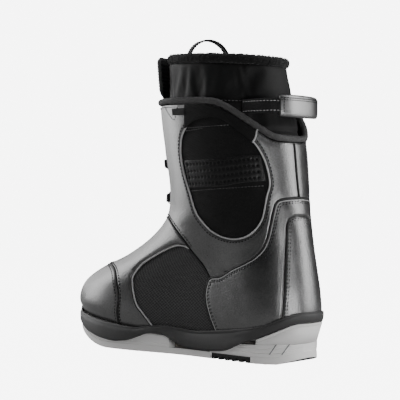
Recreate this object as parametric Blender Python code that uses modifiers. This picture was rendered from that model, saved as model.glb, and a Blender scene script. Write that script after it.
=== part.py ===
"""Snowboard boot, right foot: sole unit, paneled upper, opening tongue with a reel dial, padded liner.

Frame: +Z up, toe towards -Y, inner (medial) side towards +X, origin on the ground under the middle.
Tables are in millimetres; MM turns them into metres. A place on the boot's skin is given by
"around" (0 at the heel's back, 0.25 on the inner side, 0.5 at the toe or shin, 0.75 on the outer side)
and "level" (0 at the feather edge above the sole, 10 at the front of the collar).
"""
import bmesh
import bpy
import math
import numpy as np
from mathutils import Matrix, Vector
from mathutils.geometry import delaunay_2d_cdt

MM = 0.001
MIDDLE = 154.58           # station of the origin, measured from the heel's back
DROP = 22.0               # how far the skin falls for one level below the feather edge
PANEL_GAP = 1.0           # seam between neighbouring panels
PANEL_THICKNESS = 1.8
TEXTILE_LIFT, TEXTILE_THICKNESS = -0.8, 1.4
BAND_LIFT, BAND_THICKNESS = -0.1, 0.35
LABEL_LIFT, LABEL_THICKNESS = 1.1, 0.7
STIFFENER_LIFT, STIFFENER_THICKNESS = -2.9, 1.2
GAP = 0.35                # between pieces that rest on each other

# One row for each level: station and height of the back point, of the front point, and the dip between.
PROFILE = np.array([
    (6, 22, 307, 36, -8), (-1, 44, 312, 50, -5), (0, 66, 303, 68, 0), (3, 88, 277, 84, 2),
    (6, 108, 242, 97, 4), (9, 128, 205, 116, 5), (12, 146, 178, 138, 2), (16, 170, 169, 164, 0),
    (19, 198, 172, 196, 0), (22, 226, 177, 228, 0), (25, 254, 181, 260, 0), (30, 300, 186, 306, 0)], float)
# One row for each level: half widths at heel, waist, ball and toe, then how long the two round ends are.
GIRTH = np.array([
    (37, 37, 49, 44, 46, 74), (41, 41, 54, 49, 48, 78), (42, 41, 53, 47, 50, 80), (41, 42, 48, 42, 52, 90),
    (41, 45, 46, 42, 56, 100), (44, 49, 49, 45, 62, 105), (48, 54, 54, 50, 70, 90), (54, 57, 57, 54, 72, 76),
    (57, 59, 59, 56, 74, 74), (59, 61, 61, 58, 75, 75), (60, 62, 62, 59, 77, 77), (60, 62, 62, 59, 77, 77)],
    float)
WIDTH_STATIONS = [0.0, 0.18, 0.42, 0.70, 0.90, 1.0]
ROUNDNESS = 2.15          # exponent of the round ends, 2 is an ellipse

# Seams of the upper on the inner side, as (around, level). The outer side mirrors them.
TOE_SEAM = [(0.335, -0.02), (0.328, 1.05), (0.332, 1.7), (0.355, 2.4), (0.391, 2.9), (0.44, 3.2), (0.5, 3.3)]
MESH_FRONT = [(0.262, -0.02), (0.281, 0.85), (0.293, 1.25), (0.309, 2.05), (0.320, 2.5), (0.325, 3.0),
              (0.323, 3.4), (0.314, 3.8), (0.298, 4.1), (0.278, 4.25), (0.258, 4.2), (0.243, 4.08)]
ANKLE_SEAM = [(0.440, 6.0), (0.398, 5.95), (0.355, 5.6), (0.305, 4.97), (0.262, 4.4), (0.243, 4.08)]
MESH_TOP = [(0.243, 4.08), (0.199, 3.25), (0.172, 2.55)]
COUNTER_FRONT = [(0.146, -0.02), (0.164, 1.0), (0.172, 1.55), (0.175, 2.0), (0.172, 2.55)]
COUNTER_TOP = [(0.172, 2.55), (0.152, 2.7), (0.133, 3.05), (0.109, 3.4), (0.094, 3.7), (0.083, 4.1),
               (0.078, 4.6), (0.076, 5.2), (0.073, 5.8), (0.066, 6.3), (0.050, 6.48), (0.0, 6.55)]
BACKSTAY = [(0.047, 0.9), (0.044, 2.0), (0.043, 3.2), (0.043, 4.4), (0.043, 5.2), (0.037, 5.6), (0.020, 5.75),
            (0.0, 5.75)]
COLLAR = [(0.0, 8.5), (0.035, 8.5), (0.062, 8.58), (0.085, 8.8), (0.109, 9.05), (0.132, 9.32), (0.165, 9.65),
          (0.2, 9.78), (0.3, 9.8), (0.4, 9.8), (0.463, 9.75)]
OVAL = [(0.180, 9.45), (0.235, 9.35), (0.266, 9.05), (0.289, 8.65), (0.300, 8.1), (0.297, 7.5), (0.285, 6.9),
        (0.270, 6.2), (0.246, 5.6), (0.215, 5.0), (0.190, 4.7), (0.164, 4.52), (0.141, 4.48), (0.121, 4.6),
        (0.104, 4.95), (0.094, 5.5), (0.089, 6.1), (0.083, 6.6), (0.074, 7.1), (0.078, 7.7), (0.088, 8.15),
        (0.104, 8.55), (0.128, 8.9), (0.150, 9.2)]
BAND = [(0.282, 7.05), (0.188, 7.05), (0.145, 7.12), (0.084, 7.18), (0.092, 8.05), (0.125, 8.05),
        (0.184, 7.98), (0.289, 7.95)]
LABEL = [(0.262, 9.45), (0.262, 9.68), (0.305, 9.68), (0.305, 9.45)]
TONGUE_EDGE = 0.463       # where the flaps end and the tongue begins
THROAT = 5.55             # level of the tongue's lower edge
TONGUE_TOP = [(0.463, 9.95), (0.440, 10.1), (0.408, 10.25), (0.402, 10.6), (0.410, 10.85), (0.440, 10.95),
              (0.5, 10.98)]

# Sole, in millimetres
SLAB_LIFT = 2.6
RAND_CLEARANCE = (1.0, 1.2)    # of the rand, beside the midsole and beside the upper
LUG_PITCH = 9.0
LUG_DEPTH = 3.2
FIRST_LUG = 6.0
LUG_STEPS = (0.0, 0.8, 3.2, 4.0)     # sides of the groove between lugs: top, foot, foot, top
OUTSOLE_THICKNESS = 6.0
OUTSOLE_LIFT = 1.0
SHANK_LIFT = -6.0
BOARD_LIFT = -3.0
BOARD_HEIGHTS = (-1.9, -0.6)   # under and over side of the lasting board, from the feather edge
MIDSOLE_TOP = -2.4
RAND_THICKNESS = 1.5
CUP_LIFTS = (0.6, 2.9)
ARCH = (96.0, 150.0)      # stations between the heel block and the forefoot block
TOE_SPRING = (232.0, 30.0)     # station where it starts, and how high it would rise over SPRING_LENGTH
SPRING_LENGTH = 84.0
HEEL_BEVEL = (22.0, 9.0)
RAND_TOP = [(0.0, 50), (0.03, 50), (0.05, 44), (0.07, 37), (0.10, 33), (0.16, 28), (0.19, 26), (0.22, 28),
            (0.25, 29), (0.28, 27), (0.32, 21.5), (0.35, 20), (0.38, 23), (0.42, 31), (0.46, 39), (0.5, 44)]
RAND_FOOT = [(0.0, 40), (0.03, 40), (0.05, 33), (0.07, 26), (0.10, 18), (0.125, 10), (0.15, 8), (0.20, 8),
             (0.225, 13), (0.25, 21), (0.275, 20), (0.31, 11), (0.34, 8.5), (0.37, 11), (0.40, 15),
             (0.44, 23), (0.5, 31)]
CUP_END = 0.075

# Liner, tongue hardware and straps, in millimetres
LINER_LIFT = -5.0
LINER_TOP_LIFT = -13.0
LINER_WALL = 5.0
LINER_TOP_LEVEL = 10.80
FLEECE_RADIUS = 4.5
TONGUE_LIFT = -1.4
COLLAR_RISE = 4.0         # of the edge roll above the cut edge of the quarters
COLLAR_RADIUS = 2.9
TONGUE_BINDING_RADIUS = 1.5
LINER_TONGUE_THICKNESS = 3.0
FOOTBED_LIFT = -15.0
FOOTBED_HEIGHTS = (6.4, 9.4)
REEL_LEVEL = 8.75
REEL_RADIUS = 15.0
SPOOL_RADIUS = 12.2
AXLE_RADIUS = 2.8
DIAL_RADIUS = 14.0
LACE_RADIUS = 0.7
GUIDE_SIZE = (9.0, 9.0, 4.6)
GUIDE_BORE = (4.0, 2.8)
FLAP_GUIDE_AROUND = 0.449
TONGUE_GUIDE_AROUND = 0.478
GUIDE_LEVELS = [("flap_guide", 7.95), ("tongue_guide", 7.35), ("flap_guide", 6.8), ("tongue_guide", 6.3)]
STRAP_HEIGHT = 246.0
LEG_SIZE = (14.0, 2.2)     # width and thickness of the strap, its grip and the pull loop
GRIP_SIZE = (20.0, 6.0)
LOOP_SIZE = (9.0, 1.8)
GRIP_SHARE = (12, 29)      # points of the strap's route that its grip covers, of 41
STRAP_HINGE = 52.0        # station where the carry strap leaves the liner
LOOP_FEET = [(14.0, 150.0, 291.0), (-32.0, 133.0, 291.0)]
LOOP_RISE = 32.0


def smooth_rows(table, level):
    """Reads a table between its rows with a Catmull-Rom curve."""
    last = len(table) - 1
    level = min(max(level, 0.0), last)
    i = min(int(level), last - 1)
    t = level - i
    p1, p2 = table[i], table[i + 1]
    p0 = table[i - 1] if i else 2 * p1 - p2
    p3 = table[i + 2] if i + 2 <= last else 2 * p2 - p1
    return 0.5 * (2 * p1 + (p2 - p0) * t + (2 * p0 - 5 * p1 + 4 * p2 - p3) * t * t
                  + (3 * p1 - p0 - 3 * p2 + p3) * t ** 3)


def hermite(x, xs, ys):
    """A smooth curve through the points (xs, ys), read at x."""
    xs, ys = np.array(xs, float), np.array(ys, float)
    slope = np.gradient(ys, xs)
    i = np.clip(np.searchsorted(xs, x) - 1, 0, len(xs) - 2)
    h = xs[i + 1] - xs[i]
    t = (x - xs[i]) / h
    return ((2 * t ** 3 - 3 * t ** 2 + 1) * ys[i] + (t ** 3 - 2 * t ** 2 + t) * h * slope[i]
            + (3 * t ** 2 - 2 * t ** 3) * ys[i + 1] + (t ** 3 - t ** 2) * h * slope[i + 1])


def half_ring(level, count):
    """Inner half of the ring at a level, back to front, with evenly spaced points: x, station, height."""
    back_s, back_z, front_s, front_z, dip = smooth_rows(PROFILE, level)
    heel, waist, ball, toe, back_end, front_end = smooth_rows(GIRTH, level)
    length = front_s - back_s
    squeeze = min(1.0, length / (back_end + front_end))
    back_end, front_end = back_end * squeeze, front_end * squeeze
    angle = np.linspace(0, math.pi / 2, 120)
    straight = np.linspace(back_end, length - front_end, 40)[1:-1]
    rise, run = np.sin(angle) ** (2 / ROUNDNESS), np.cos(angle) ** (2 / ROUNDNESS)
    along = np.concatenate([back_end * (1 - run), straight, length - front_end + front_end * rise])
    fullness = np.concatenate([rise, np.ones(len(straight)), run])
    share = along / length
    width = hermite(share, WIDTH_STATIONS, [heel, heel, waist, ball, (ball + toe) / 2, toe])
    height = back_z + (front_z - back_z) * share + dip * np.sin(math.pi * share)
    points = np.stack([width * fullness, back_s + along, height], 1)
    steps = np.linalg.norm(np.diff(points, axis=0), axis=1)
    walked = np.concatenate([[0], np.cumsum(steps)])
    even = np.linspace(0, walked[-1], count + 1)
    return np.stack([np.interp(even, walked, points[:, k]) for k in range(3)], 1)


class Form:
    """The boot's outer skin, as a table of places and outward directions."""
    COLUMNS = 256
    PER_LEVEL = 8

    def __init__(self):
        rows = (len(PROFILE) - 1) * self.PER_LEVEL + 1
        table = []
        for row in range(rows):
            half = half_ring(row / self.PER_LEVEL, self.COLUMNS // 2)
            other = half[1:-1][::-1] * np.array([-1, 1, 1])
            table.append(np.concatenate([half, other]))
        self.table = np.array(table)
        around = np.roll(self.table, -1, 1) - np.roll(self.table, 1, 1)
        upward = np.gradient(self.table, axis=0)
        normal = np.cross(around, upward)
        self.normals = normal / np.linalg.norm(normal, axis=2, keepdims=True)

    def read(self, table, around, level):
        column = (around % 1.0) * self.COLUMNS
        row = min(max(level * self.PER_LEVEL, 0.0), len(table) - 1.001)
        i, j = int(row), int(column) % self.COLUMNS
        s, t = row - i, column - int(column)
        k = (j + 1) % self.COLUMNS
        return ((table[i, j] * (1 - t) + table[i, k] * t) * (1 - s)
                + (table[i + 1, j] * (1 - t) + table[i + 1, k] * t) * s)

    def place(self, around, level, lift=0.0):
        """A point in millimetres (x, station, height); below level 0 the skin runs straight down."""
        point = self.read(self.table, around, level)
        normal = self.direction(around, level)
        if level < 0:
            point = point + np.array([0, 0, DROP * level])
        return point + normal * lift

    def direction(self, around, level):
        normal = self.read(self.normals, around, level)
        if level < 0.3:
            normal = normal * np.array([1, 1, 0.0])
        return normal / np.linalg.norm(normal)

    def wall(self, around, height, lift):
        """The skin's place at a height near the sole, pushed out level."""
        levels = np.linspace(0, 3, 25)
        column = np.array([self.read(self.table, around, v) for v in levels])
        x, s = (np.interp(height, column[:, 2], column[:, k]) for k in range(2))
        out = self.direction(around, 0.0)
        return np.array([x + out[0] * lift, s + out[1] * lift, height])


FORM = Form()


def metres(point):
    """(x, station, height) in millimetres to the boot's frame."""
    return Vector((point[0] * MM, (MIDDLE - point[1]) * MM, point[2] * MM))


def clear_scene():
    for old in list(bpy.data.objects):
        bpy.data.objects.remove(old, do_unlink=True)


def make_collection(name):
    made = bpy.data.collections.new(name)
    bpy.context.scene.collection.children.link(made)
    return made


def make_material(name, colour, roughness, metallic=0.0):
    material = bpy.data.materials.new(name)
    material.use_nodes = True
    shader = material.node_tree.nodes["Principled BSDF"]
    shader.inputs["Base Color"].default_value = (*colour, 1.0)
    shader.inputs["Roughness"].default_value = roughness
    shader.inputs["Metallic"].default_value = metallic
    return material


def add_object(name, mesh, material, collection):
    made = bpy.data.objects.new(name, mesh)
    collection.objects.link(made)
    if material:
        mesh.materials.append(material)
    return made


def mesh_from(name, points, faces):
    mesh = bpy.data.meshes.new(name)
    mesh.from_pydata([tuple(p) for p in points], [], faces)
    shape = bmesh.new()
    shape.from_mesh(mesh)
    bmesh.ops.recalc_face_normals(shape, faces=shape.faces)
    shape.to_mesh(mesh)
    shape.free()
    return mesh


def densify(outline, step):
    """Adds points so that no side is longer than the step, in millimetres."""
    dense = []
    for (a0, l0), (a1, l1) in zip(outline, outline[1:] + outline[:1]):
        length = np.linalg.norm(FORM.place(a0, l0) - FORM.place(a1, l1))
        count = max(1, math.ceil(length / step))
        dense += [(a0 + (a1 - a0) * k / count, l0 + (l1 - l0) * k / count) for k in range(count)]
    return dense


def inset(outline, distance):
    """Moves an outline inwards on the skin; a negative distance moves it outwards."""
    area = sum(a0 * l1 - a1 * l0 for (a0, l0), (a1, l1) in zip(outline, outline[1:] + outline[:1]))
    turn = 1.0 if area > 0 else -1.0
    moved = []
    for k, (a, l) in enumerate(outline):
        here = FORM.place(a, l)
        per_around = np.linalg.norm(FORM.place(a + 0.002, l) - here) / 0.002
        per_level = np.linalg.norm(FORM.place(a, l + 0.05) - here) / 0.05
        before, after = outline[k - 1], outline[(k + 1) % len(outline)]
        sides = []
        for start, end in ((before, (a, l)), ((a, l), after)):
            side = Vector(((end[0] - start[0]) * per_around, (end[1] - start[1]) * per_level))
            if side.length > 1e-9:
                sides.append(side.normalized())
        inward = [Vector((-side.y, side.x)) * turn for side in sides]
        push = inward[0] + inward[-1]
        push = push.normalized() * distance / max(0.5, push.normalized().dot(inward[0]))
        moved.append((a + push.x / per_around, l + push.y / per_level))
    return moved


def inside(point, outline):
    hit = False
    for (x0, y0), (x1, y1) in zip(outline, outline[1:] + outline[:1]):
        if (y0 > point[1]) != (y1 > point[1]) and point[0] < (x1 - x0) * (point[1] - y0) / (y1 - y0) + x0:
            hit = not hit
    return hit


def clearance(point, outline):
    best = 1e9
    p = np.array(point)
    for start, end in zip(outline, outline[1:] + outline[:1]):
        a, b = np.array(start), np.array(end)
        t = np.clip(np.dot(p - a, b - a) / max(np.dot(b - a, b - a), 1e-12), 0, 1)
        best = min(best, np.linalg.norm(a + (b - a) * t - p))
    return best


def skin_mesh(name, outline, lift, holes=(), cell=(1 / 56, 0.5)):
    """An open sheet on the boot's skin, inside an outline and outside its holes."""
    lift_at = lift if callable(lift) else (lambda level: lift)
    flat = np.array([560.0, 25.0])
    loops = [[tuple(np.array(p) * flat) for p in loop] for loop in (outline, *holes)]
    points, edges = [], []
    for loop in loops:
        first = len(points)
        points += loop
        edges += [(first + k, first + (k + 1) % len(loop)) for k in range(len(loop))]
    low, high = np.min(loops[0], axis=0), np.max(loops[0], axis=0)
    step = np.array(cell) * flat
    for x in np.arange(math.floor(low[0] / step[0]), high[0] / step[0] + 1) * step[0]:
        for y in np.arange(math.floor(low[1] / step[1]), high[1] / step[1] + 1) * step[1]:
            sits_in = inside((x, y), loops[0]) and not any(inside((x, y), hole) for hole in loops[1:])
            if sits_in and min(clearance((x, y), loop) for loop in loops) > 0.35 * min(step):
                points.append((x, y))
    points, _, faces, *_ = delaunay_2d_cdt([Vector(p) for p in points], edges, [], 0, 1e-5)
    kept = []
    for face in faces:
        centre = sum((points[k] for k in face), Vector((0, 0))) / len(face)
        if inside(centre, loops[0]) and not any(inside(centre, hole) for hole in loops[1:]):
            kept.append(tuple(reversed(face)))
    used = sorted({k for face in kept for k in face})
    index = {k: n for n, k in enumerate(used)}
    places = []
    for k in used:
        around, level = points[k].x / flat[0], points[k].y / flat[1]
        places.append(metres(FORM.place(around, level, lift_at(level))))
    mesh = bpy.data.meshes.new(name)
    mesh.from_pydata(places, [], [tuple(index[k] for k in face) for face in kept])
    return mesh


def panel(name, outline, material, collection, lift=0.0, thickness=PANEL_THICKNESS, holes=(), gap=PANEL_GAP):
    """A sewn panel: a sheet on the skin, thickened inwards."""
    edge = inset(densify(outline, 9.0), gap / 2)
    cut = [inset(densify(hole, 9.0), -gap / 2) for hole in holes]
    made = add_object(name, skin_mesh(name, edge, lift, cut), material, collection)
    solid = made.modifiers.new("thickness", "SOLIDIFY")
    solid.thickness = thickness * MM
    solid.offset = -1.0
    solid.use_even_offset = True
    return made


def mirrored(outline):
    return [(1.0 - a, l) for a, l in outline][::-1]


def across_toe(half):
    """Closes a half outline, which starts and ends on the front line, over the front."""
    other = [(1.0 - a, l) for a, l in half][::-1]
    return half + [p for p in other if abs(p[0] - 0.5) > 1e-6]


def across_heel(half):
    other = [(-a, l) for a, l in half][::-1]
    return half + [p for p in other if abs(p[0]) > 1e-6]


def loft(name, rows, material, collection, closed_rows=False):
    """A closed body through rows of equal length; each row is itself a closed loop of points."""
    points = [metres(p) for row in rows for p in row]
    count = len(rows[0])
    faces = []
    pairs = range(len(rows) if closed_rows else len(rows) - 1)
    for i in pairs:
        j = (i + 1) % len(rows)
        for k in range(count):
            n = (k + 1) % count
            faces.append((i * count + k, i * count + n, j * count + n, j * count + k))
    if not closed_rows:
        faces.append(tuple(range(count)))
        faces.append(tuple((len(rows) - 1) * count + k for k in range(count))[::-1])
    return add_object(name, mesh_from(name, points, faces), material, collection)


def sole_half_width(station, lift):
    """Half width of the footprint, pushed out by the lift, at a station."""
    arounds = np.linspace(0, 0.5, 130)
    edge = np.array([FORM.place(a, 0.0) + FORM.direction(a, 0.0) * lift for a in arounds])
    return float(np.interp(station, edge[:, 1], edge[:, 0]))


def sole_ends(lift):
    return (FORM.place(0.0, 0.0)[1] - lift, FORM.place(0.5, 0.0)[1] + lift)


def ground(station):
    """Height of the sole's underside: toe spring in front, a bevel at the back."""
    spring_start, spring = TOE_SPRING
    bevel_end, bevel = HEEL_BEVEL
    toe = max(0.0, (station - spring_start) / SPRING_LENGTH)
    heel = max(0.0, (bevel_end - station) / (bevel_end + 4.0))
    return spring * toe ** 1.7 + bevel * heel ** 1.5


def floor_height(station):
    """Height of the feather edge, where the upper meets the sole."""
    back_s, back_z, front_s, front_z, dip = PROFILE[0]
    share = min(max((station - back_s) / (front_s - back_s), 0.0), 1.0)
    return back_z + (front_z - back_z) * share + dip * math.sin(math.pi * share)


def end_stations(start, end, count):
    """Stations that crowd towards both ends."""
    return [start + (end - start) * (1 - math.cos(math.pi * k / count)) / 2 for k in range(count + 1)]


def slab(name, stations, lift, bottom, top, material, collection):
    rows = []
    for s in stations:
        w = max(sole_half_width(s, lift), 2.0)
        rows.append([(-w, s, bottom(s)), (w, s, bottom(s)), (w, s, top(s)), (-w, s, top(s))])
    return loft(name, rows, material, collection)


def lug_stations(start, end):
    """Stations at the sides of every lug, so that the underside steps up and down."""
    stations = [start]
    s = start + FIRST_LUG
    while s + LUG_PITCH < end - 4.0:
        stations += [s + step for step in LUG_STEPS]
        s += LUG_PITCH
    return stations + [end]


def lugged(station, start):
    """Height that a groove between lugs adds to the underside."""
    phase = (station - start - FIRST_LUG) % LUG_PITCH
    foot_start = sum(LUG_STEPS[:2]) / 2
    foot_end = sum(LUG_STEPS[2:]) / 2
    in_groove = foot_start < phase < foot_end and station > start + FIRST_LUG
    return LUG_DEPTH if in_groove else 0.0


def make_sole(slots, parts):
    heel_end, toe_end = sole_ends(OUTSOLE_LIFT)
    start, end = heel_end + 0.6, toe_end - 0.6
    stations = lug_stations(start, end)

    def tread(s):
        return ground(s) + lugged(s, start)
    slab("outsole", stations, OUTSOLE_LIFT, tread, lambda s: ground(s) + OUTSOLE_THICKNESS,
         slots["rubber"], parts)

    def over_outsole(s):
        return ground(s) + OUTSOLE_THICKNESS + GAP

    def under_board(s):
        return floor_height(s) + MIDSOLE_TOP
    heel_end, toe_end = sole_ends(SLAB_LIFT)
    slab("heel_midsole", end_stations(heel_end + 0.8, ARCH[0], 14), SLAB_LIFT, over_outsole, under_board,
         slots["midsole"], parts)
    slab("forefoot_midsole", end_stations(ARCH[1], toe_end - 0.8, 20), SLAB_LIFT, over_outsole, under_board,
         slots["midsole"], parts)
    slab("shank", [ARCH[0] + GAP, sum(ARCH) / 2, ARCH[1] - GAP], SHANK_LIFT, over_outsole, under_board,
         slots["board"], parts)
    heel_end, toe_end = sole_ends(BOARD_LIFT)
    slab("lasting_board", end_stations(heel_end + 0.5, toe_end - 0.5, 24), BOARD_LIFT,
         lambda s: floor_height(s) + BOARD_HEIGHTS[0], lambda s: floor_height(s) + BOARD_HEIGHTS[1],
         slots["board"], parts)
    make_heel_cup(slots, parts)
    make_rand(slots, parts)


def at(table, around):
    """Reads an (around, value) table; both sides of the boot are alike."""
    a = around % 1.0
    a = min(a, 1.0 - a)
    return float(np.interp(a, [p[0] for p in table], [p[1] for p in table]))


def sole_lift(around, height):
    """How far the sole's walls stand out: wide beside the midsole, close to the upper above it."""
    floor = floor_height(FORM.place(around, 0.0)[1])
    share = min(max((height - floor + 1.5) / 5.0, 0.0), 1.0)
    return (SLAB_LIFT + RAND_CLEARANCE[0]) * (1 - share) + RAND_CLEARANCE[1] * share


def make_rand(slots, parts):
    rows = []
    for k in range(72):
        around = k / 72
        foot, top = at(RAND_FOOT, around), at(RAND_TOP, around)
        inner, outer = [], []
        for share in (0.0, 0.4, 0.7, 1.0):
            height = foot + (top - foot) * share
            lift = sole_lift(around, height)
            inner.append(FORM.wall(around, height, lift))
            thickness = RAND_THICKNESS if share < 1 else RAND_THICKNESS - 0.5
            outer.append(FORM.wall(around, height, lift + thickness))
        rows.append(inner + outer[::-1])
    loft("rand", rows, slots["rand"], parts, closed_rows=True)


def make_heel_cup(slots, parts):
    """White wall that rises from the heel block behind the rand."""
    rows = []
    for k in range(25):
        around = -CUP_END + 2 * CUP_END * k / 24
        base = floor_height(FORM.place(around, 0.0)[1]) - 2.0
        top = at(RAND_FOOT, around) - 1.2
        inner = [FORM.wall(around, h, CUP_LIFTS[0]) for h in (base, top)]
        outer = [FORM.wall(around, h, CUP_LIFTS[1]) for h in (top, base)]
        rows.append(inner + outer)
    loft("heel_cup", rows, slots["midsole"], parts)


def make_upper(slots, parts):
    leather, textile = slots["leather"], slots["textile"]
    toe_cap = across_toe([(0.5, -0.02), *TOE_SEAM])
    panel("toe_cap", toe_cap, leather, parts)
    throat = [(0.5, THROAT - 0.05), (0.455, THROAT - 0.05), (0.440, 6.0)]
    vamp = TOE_SEAM[::-1] + MESH_FRONT + ANKLE_SEAM[::-1][1:-1] + throat[::-1]
    panel("vamp", across_toe(vamp), leather, parts)
    mesh = MESH_FRONT + MESH_TOP[1:] + COUNTER_FRONT[::-1][1:]
    quarter = ([(TONGUE_EDGE, 5.75)] + [(0.445, 6.0)] + ANKLE_SEAM[1:] + MESH_TOP[1:] + COUNTER_TOP[1:]
               + COLLAR)
    for side, turn in (("inner", list), ("outer", mirrored)):
        panel(f"side_mesh_{side}", turn(mesh), textile, parts)
        panel(f"quarter_{side}", turn(quarter), leather, parts, holes=[turn(OVAL)])
        panel(f"shaft_textile_{side}", turn(OVAL), textile, parts, lift=TEXTILE_LIFT,
              thickness=TEXTILE_THICKNESS)
        panel(f"perforated_band_{side}", turn(BAND), slots["leather_dark"], parts, lift=BAND_LIFT,
              thickness=BAND_THICKNESS)
    panel("collar_label", LABEL, slots["label"], parts, lift=LABEL_LIFT, thickness=LABEL_THICKNESS, gap=0.0)
    counter = across_heel([(0.0, -0.02), *COUNTER_FRONT, *COUNTER_TOP[1:]])
    stay = across_heel([(0.0, 0.9), *BACKSTAY])
    panel("heel_counter", counter, leather, parts, holes=[stay])
    panel("backstay", stay, leather, parts)
    stiffener = across_heel([(0.0, 0.3), (0.12, 0.3), (0.13, 2.0), (0.08, 3.6), (0.0, 4.2)])
    panel("heel_stiffener", stiffener, slots["board"], parts, lift=STIFFENER_LIFT,
          thickness=STIFFENER_THICKNESS)
    puff = across_toe([(0.5, 0.4), (0.36, 0.4), (0.37, 1.6), (0.41, 2.3), (0.5, 2.6)])
    panel("toe_puff", puff, slots["board"], parts, lift=STIFFENER_LIFT, thickness=STIFFENER_THICKNESS)


def tube(name, points, radius, material, collection, cyclic=False, resolution=2):
    """A round tube along points, turned into a closed mesh."""
    data = bpy.data.curves.new(name, "CURVE")
    data.dimensions = "3D"
    spline = data.splines.new("POLY")
    spline.points.add(len(points) - 1)
    for knot, place in zip(spline.points, points):
        knot.co = (*place, 1.0)
    spline.use_cyclic_u = cyclic
    data.bevel_depth = radius * MM
    data.bevel_resolution = resolution
    data.use_fill_caps = True
    made = bpy.data.objects.new(name, data)
    collection.objects.link(made)
    if material:
        data.materials.append(material)
    return made


def spline(points, count):
    """Evenly spaced points on a Catmull-Rom curve through the given ones."""
    knots = np.array([tuple(p) for p in points], float)
    fine = [smooth_rows(knots, t) for t in np.linspace(0, len(knots) - 1, 20 * len(knots))]
    walked = np.concatenate([[0], np.cumsum(np.linalg.norm(np.diff(fine, axis=0), axis=1))])
    even = np.linspace(0, walked[-1], count)
    return [Vector([np.interp(even_at, walked, [p[k] for p in fine]) for k in range(3)]) for even_at in even]


def make_collar(slots, parts):
    """Bound edge roll along the top of both quarters."""
    half = [metres(FORM.place(a, l, -0.8) + np.array([0, 0, COLLAR_RISE])) for a, l in COLLAR[1:]]
    other = [Vector((-p.x, p.y, p.z)) for p in half]
    tube("collar_binding", spline(half[::-1] + other, 64), COLLAR_RADIUS, slots["binding"], parts)


def liner_lift(level):
    share = min(max((level - 8.0) / 3.0, 0.0), 1.0)
    return LINER_LIFT + (LINER_TOP_LIFT - LINER_LIFT) * share * share * (3 - 2 * share)


def make_liner(slots, parts):
    """Padded inner boot: an open cup of rings, thickened inwards."""
    columns, levels = 40, [0.35, 0.8, 1.4, 2, 2.6, 3.2, 3.8, 4.4, 5, 5.6, 6.2, 7, 8, 9, 10, LINER_TOP_LEVEL]
    rows = [[FORM.place(k / columns, v, liner_lift(v)) for k in range(columns)] for v in levels]
    floor = [(p[0] * 0.93, p[1], floor_height(p[1]) + 0.6) for p in rows[0]]
    rows.insert(0, floor)
    points = [metres(p) for row in rows for p in row]
    faces = []
    for i in range(len(rows) - 1):
        for k in range(columns):
            n = (k + 1) % columns
            faces.append((i * columns + k, i * columns + columns + k, i * columns + columns + n,
                          i * columns + n))
    half = columns // 2
    faces += [(k, k + 1, columns - k - 1, (columns - k) % columns) for k in range(1, half - 1)]
    faces += [(0, 1, columns - 1), (half - 1, half, half + 1)]
    made = add_object("liner", mesh_from("liner", points, faces), slots["liner"], parts)
    solid = made.modifiers.new("padding", "SOLIDIFY")
    solid.thickness = LINER_WALL * MM
    solid.offset = -1.0
    solid.use_even_offset = True
    rim_lift = liner_lift(LINER_TOP_LEVEL) - LINER_WALL / 2
    rim = [metres(FORM.place(k / 56, LINER_TOP_LEVEL, rim_lift) + np.array([0, 0, FLEECE_RADIUS + GAP]))
           for k in range(56)]
    tube("fleece_collar", rim, FLEECE_RADIUS, slots["fleece"], parts, cyclic=True)
    tongue = across_toe([(0.5, 6.6), (0.44, 6.6), (0.43, 7.4), (0.43, 9.0), (0.43, 10.5), (0.5, 10.5)])
    make_liner_tongue(tongue, slots, parts)
    heel_end, toe_end = sole_ends(FOOTBED_LIFT)
    slab("footbed", end_stations(heel_end + 1.0, toe_end - 1.0, 20), FOOTBED_LIFT,
         lambda s: floor_height(s) + FOOTBED_HEIGHTS[0], lambda s: floor_height(s) + FOOTBED_HEIGHTS[1],
         slots["footbed"], parts)


def make_liner_tongue(outline, slots, parts):
    """Inner tongue, close behind the liner's front wall."""
    mesh = skin_mesh("liner_tongue", densify(outline, 9.0), lambda level: liner_lift(level) - LINER_WALL - 1.5)
    made = add_object("liner_tongue", mesh, slots["liner"], parts)
    solid = made.modifiers.new("padding", "SOLIDIFY")
    solid.thickness = LINER_TONGUE_THICKNESS * MM
    solid.offset = -1.0
    solid.use_even_offset = True


def frame_on_skin(around, level, lift):
    """A placing matrix on the skin: local Z points out of it, local Y runs up it."""
    out = FORM.direction(around, level)
    z = Vector((out[0], -out[1], out[2])).normalized()
    up = metres(FORM.place(around, level + 0.1)) - metres(FORM.place(around, level - 0.1))
    y = (up - z * up.dot(z)).normalized()
    x = y.cross(z)
    turn = Matrix((x, y, z)).transposed().to_4x4()
    return Matrix.Translation(metres(FORM.place(around, level, lift))) @ turn


def turned(name, profile, material, collection, steps=28):
    """A turned body about local Z from a closed (radius, height) profile in millimetres."""
    mesh = bpy.data.meshes.new(name)
    points = [(r * MM, 0.0, h * MM) for r, h in profile]
    mesh.from_pydata(points, [(k, (k + 1) % len(points)) for k in range(len(points))], [])
    made = add_object(name, mesh, material, collection)
    screw = made.modifiers.new("turn", "SCREW")
    screw.steps = steps
    screw.render_steps = steps
    screw.use_merge_vertices = True
    screw.merge_threshold = 0.00002
    return made


def box_mesh(name, size):
    mesh = bpy.data.meshes.new(name)
    shape = bmesh.new()
    bmesh.ops.create_cube(shape, size=1.0)
    bmesh.ops.scale(shape, vec=Vector(size) * MM, verts=shape.verts)
    shape.to_mesh(mesh)
    shape.free()
    return mesh


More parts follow.
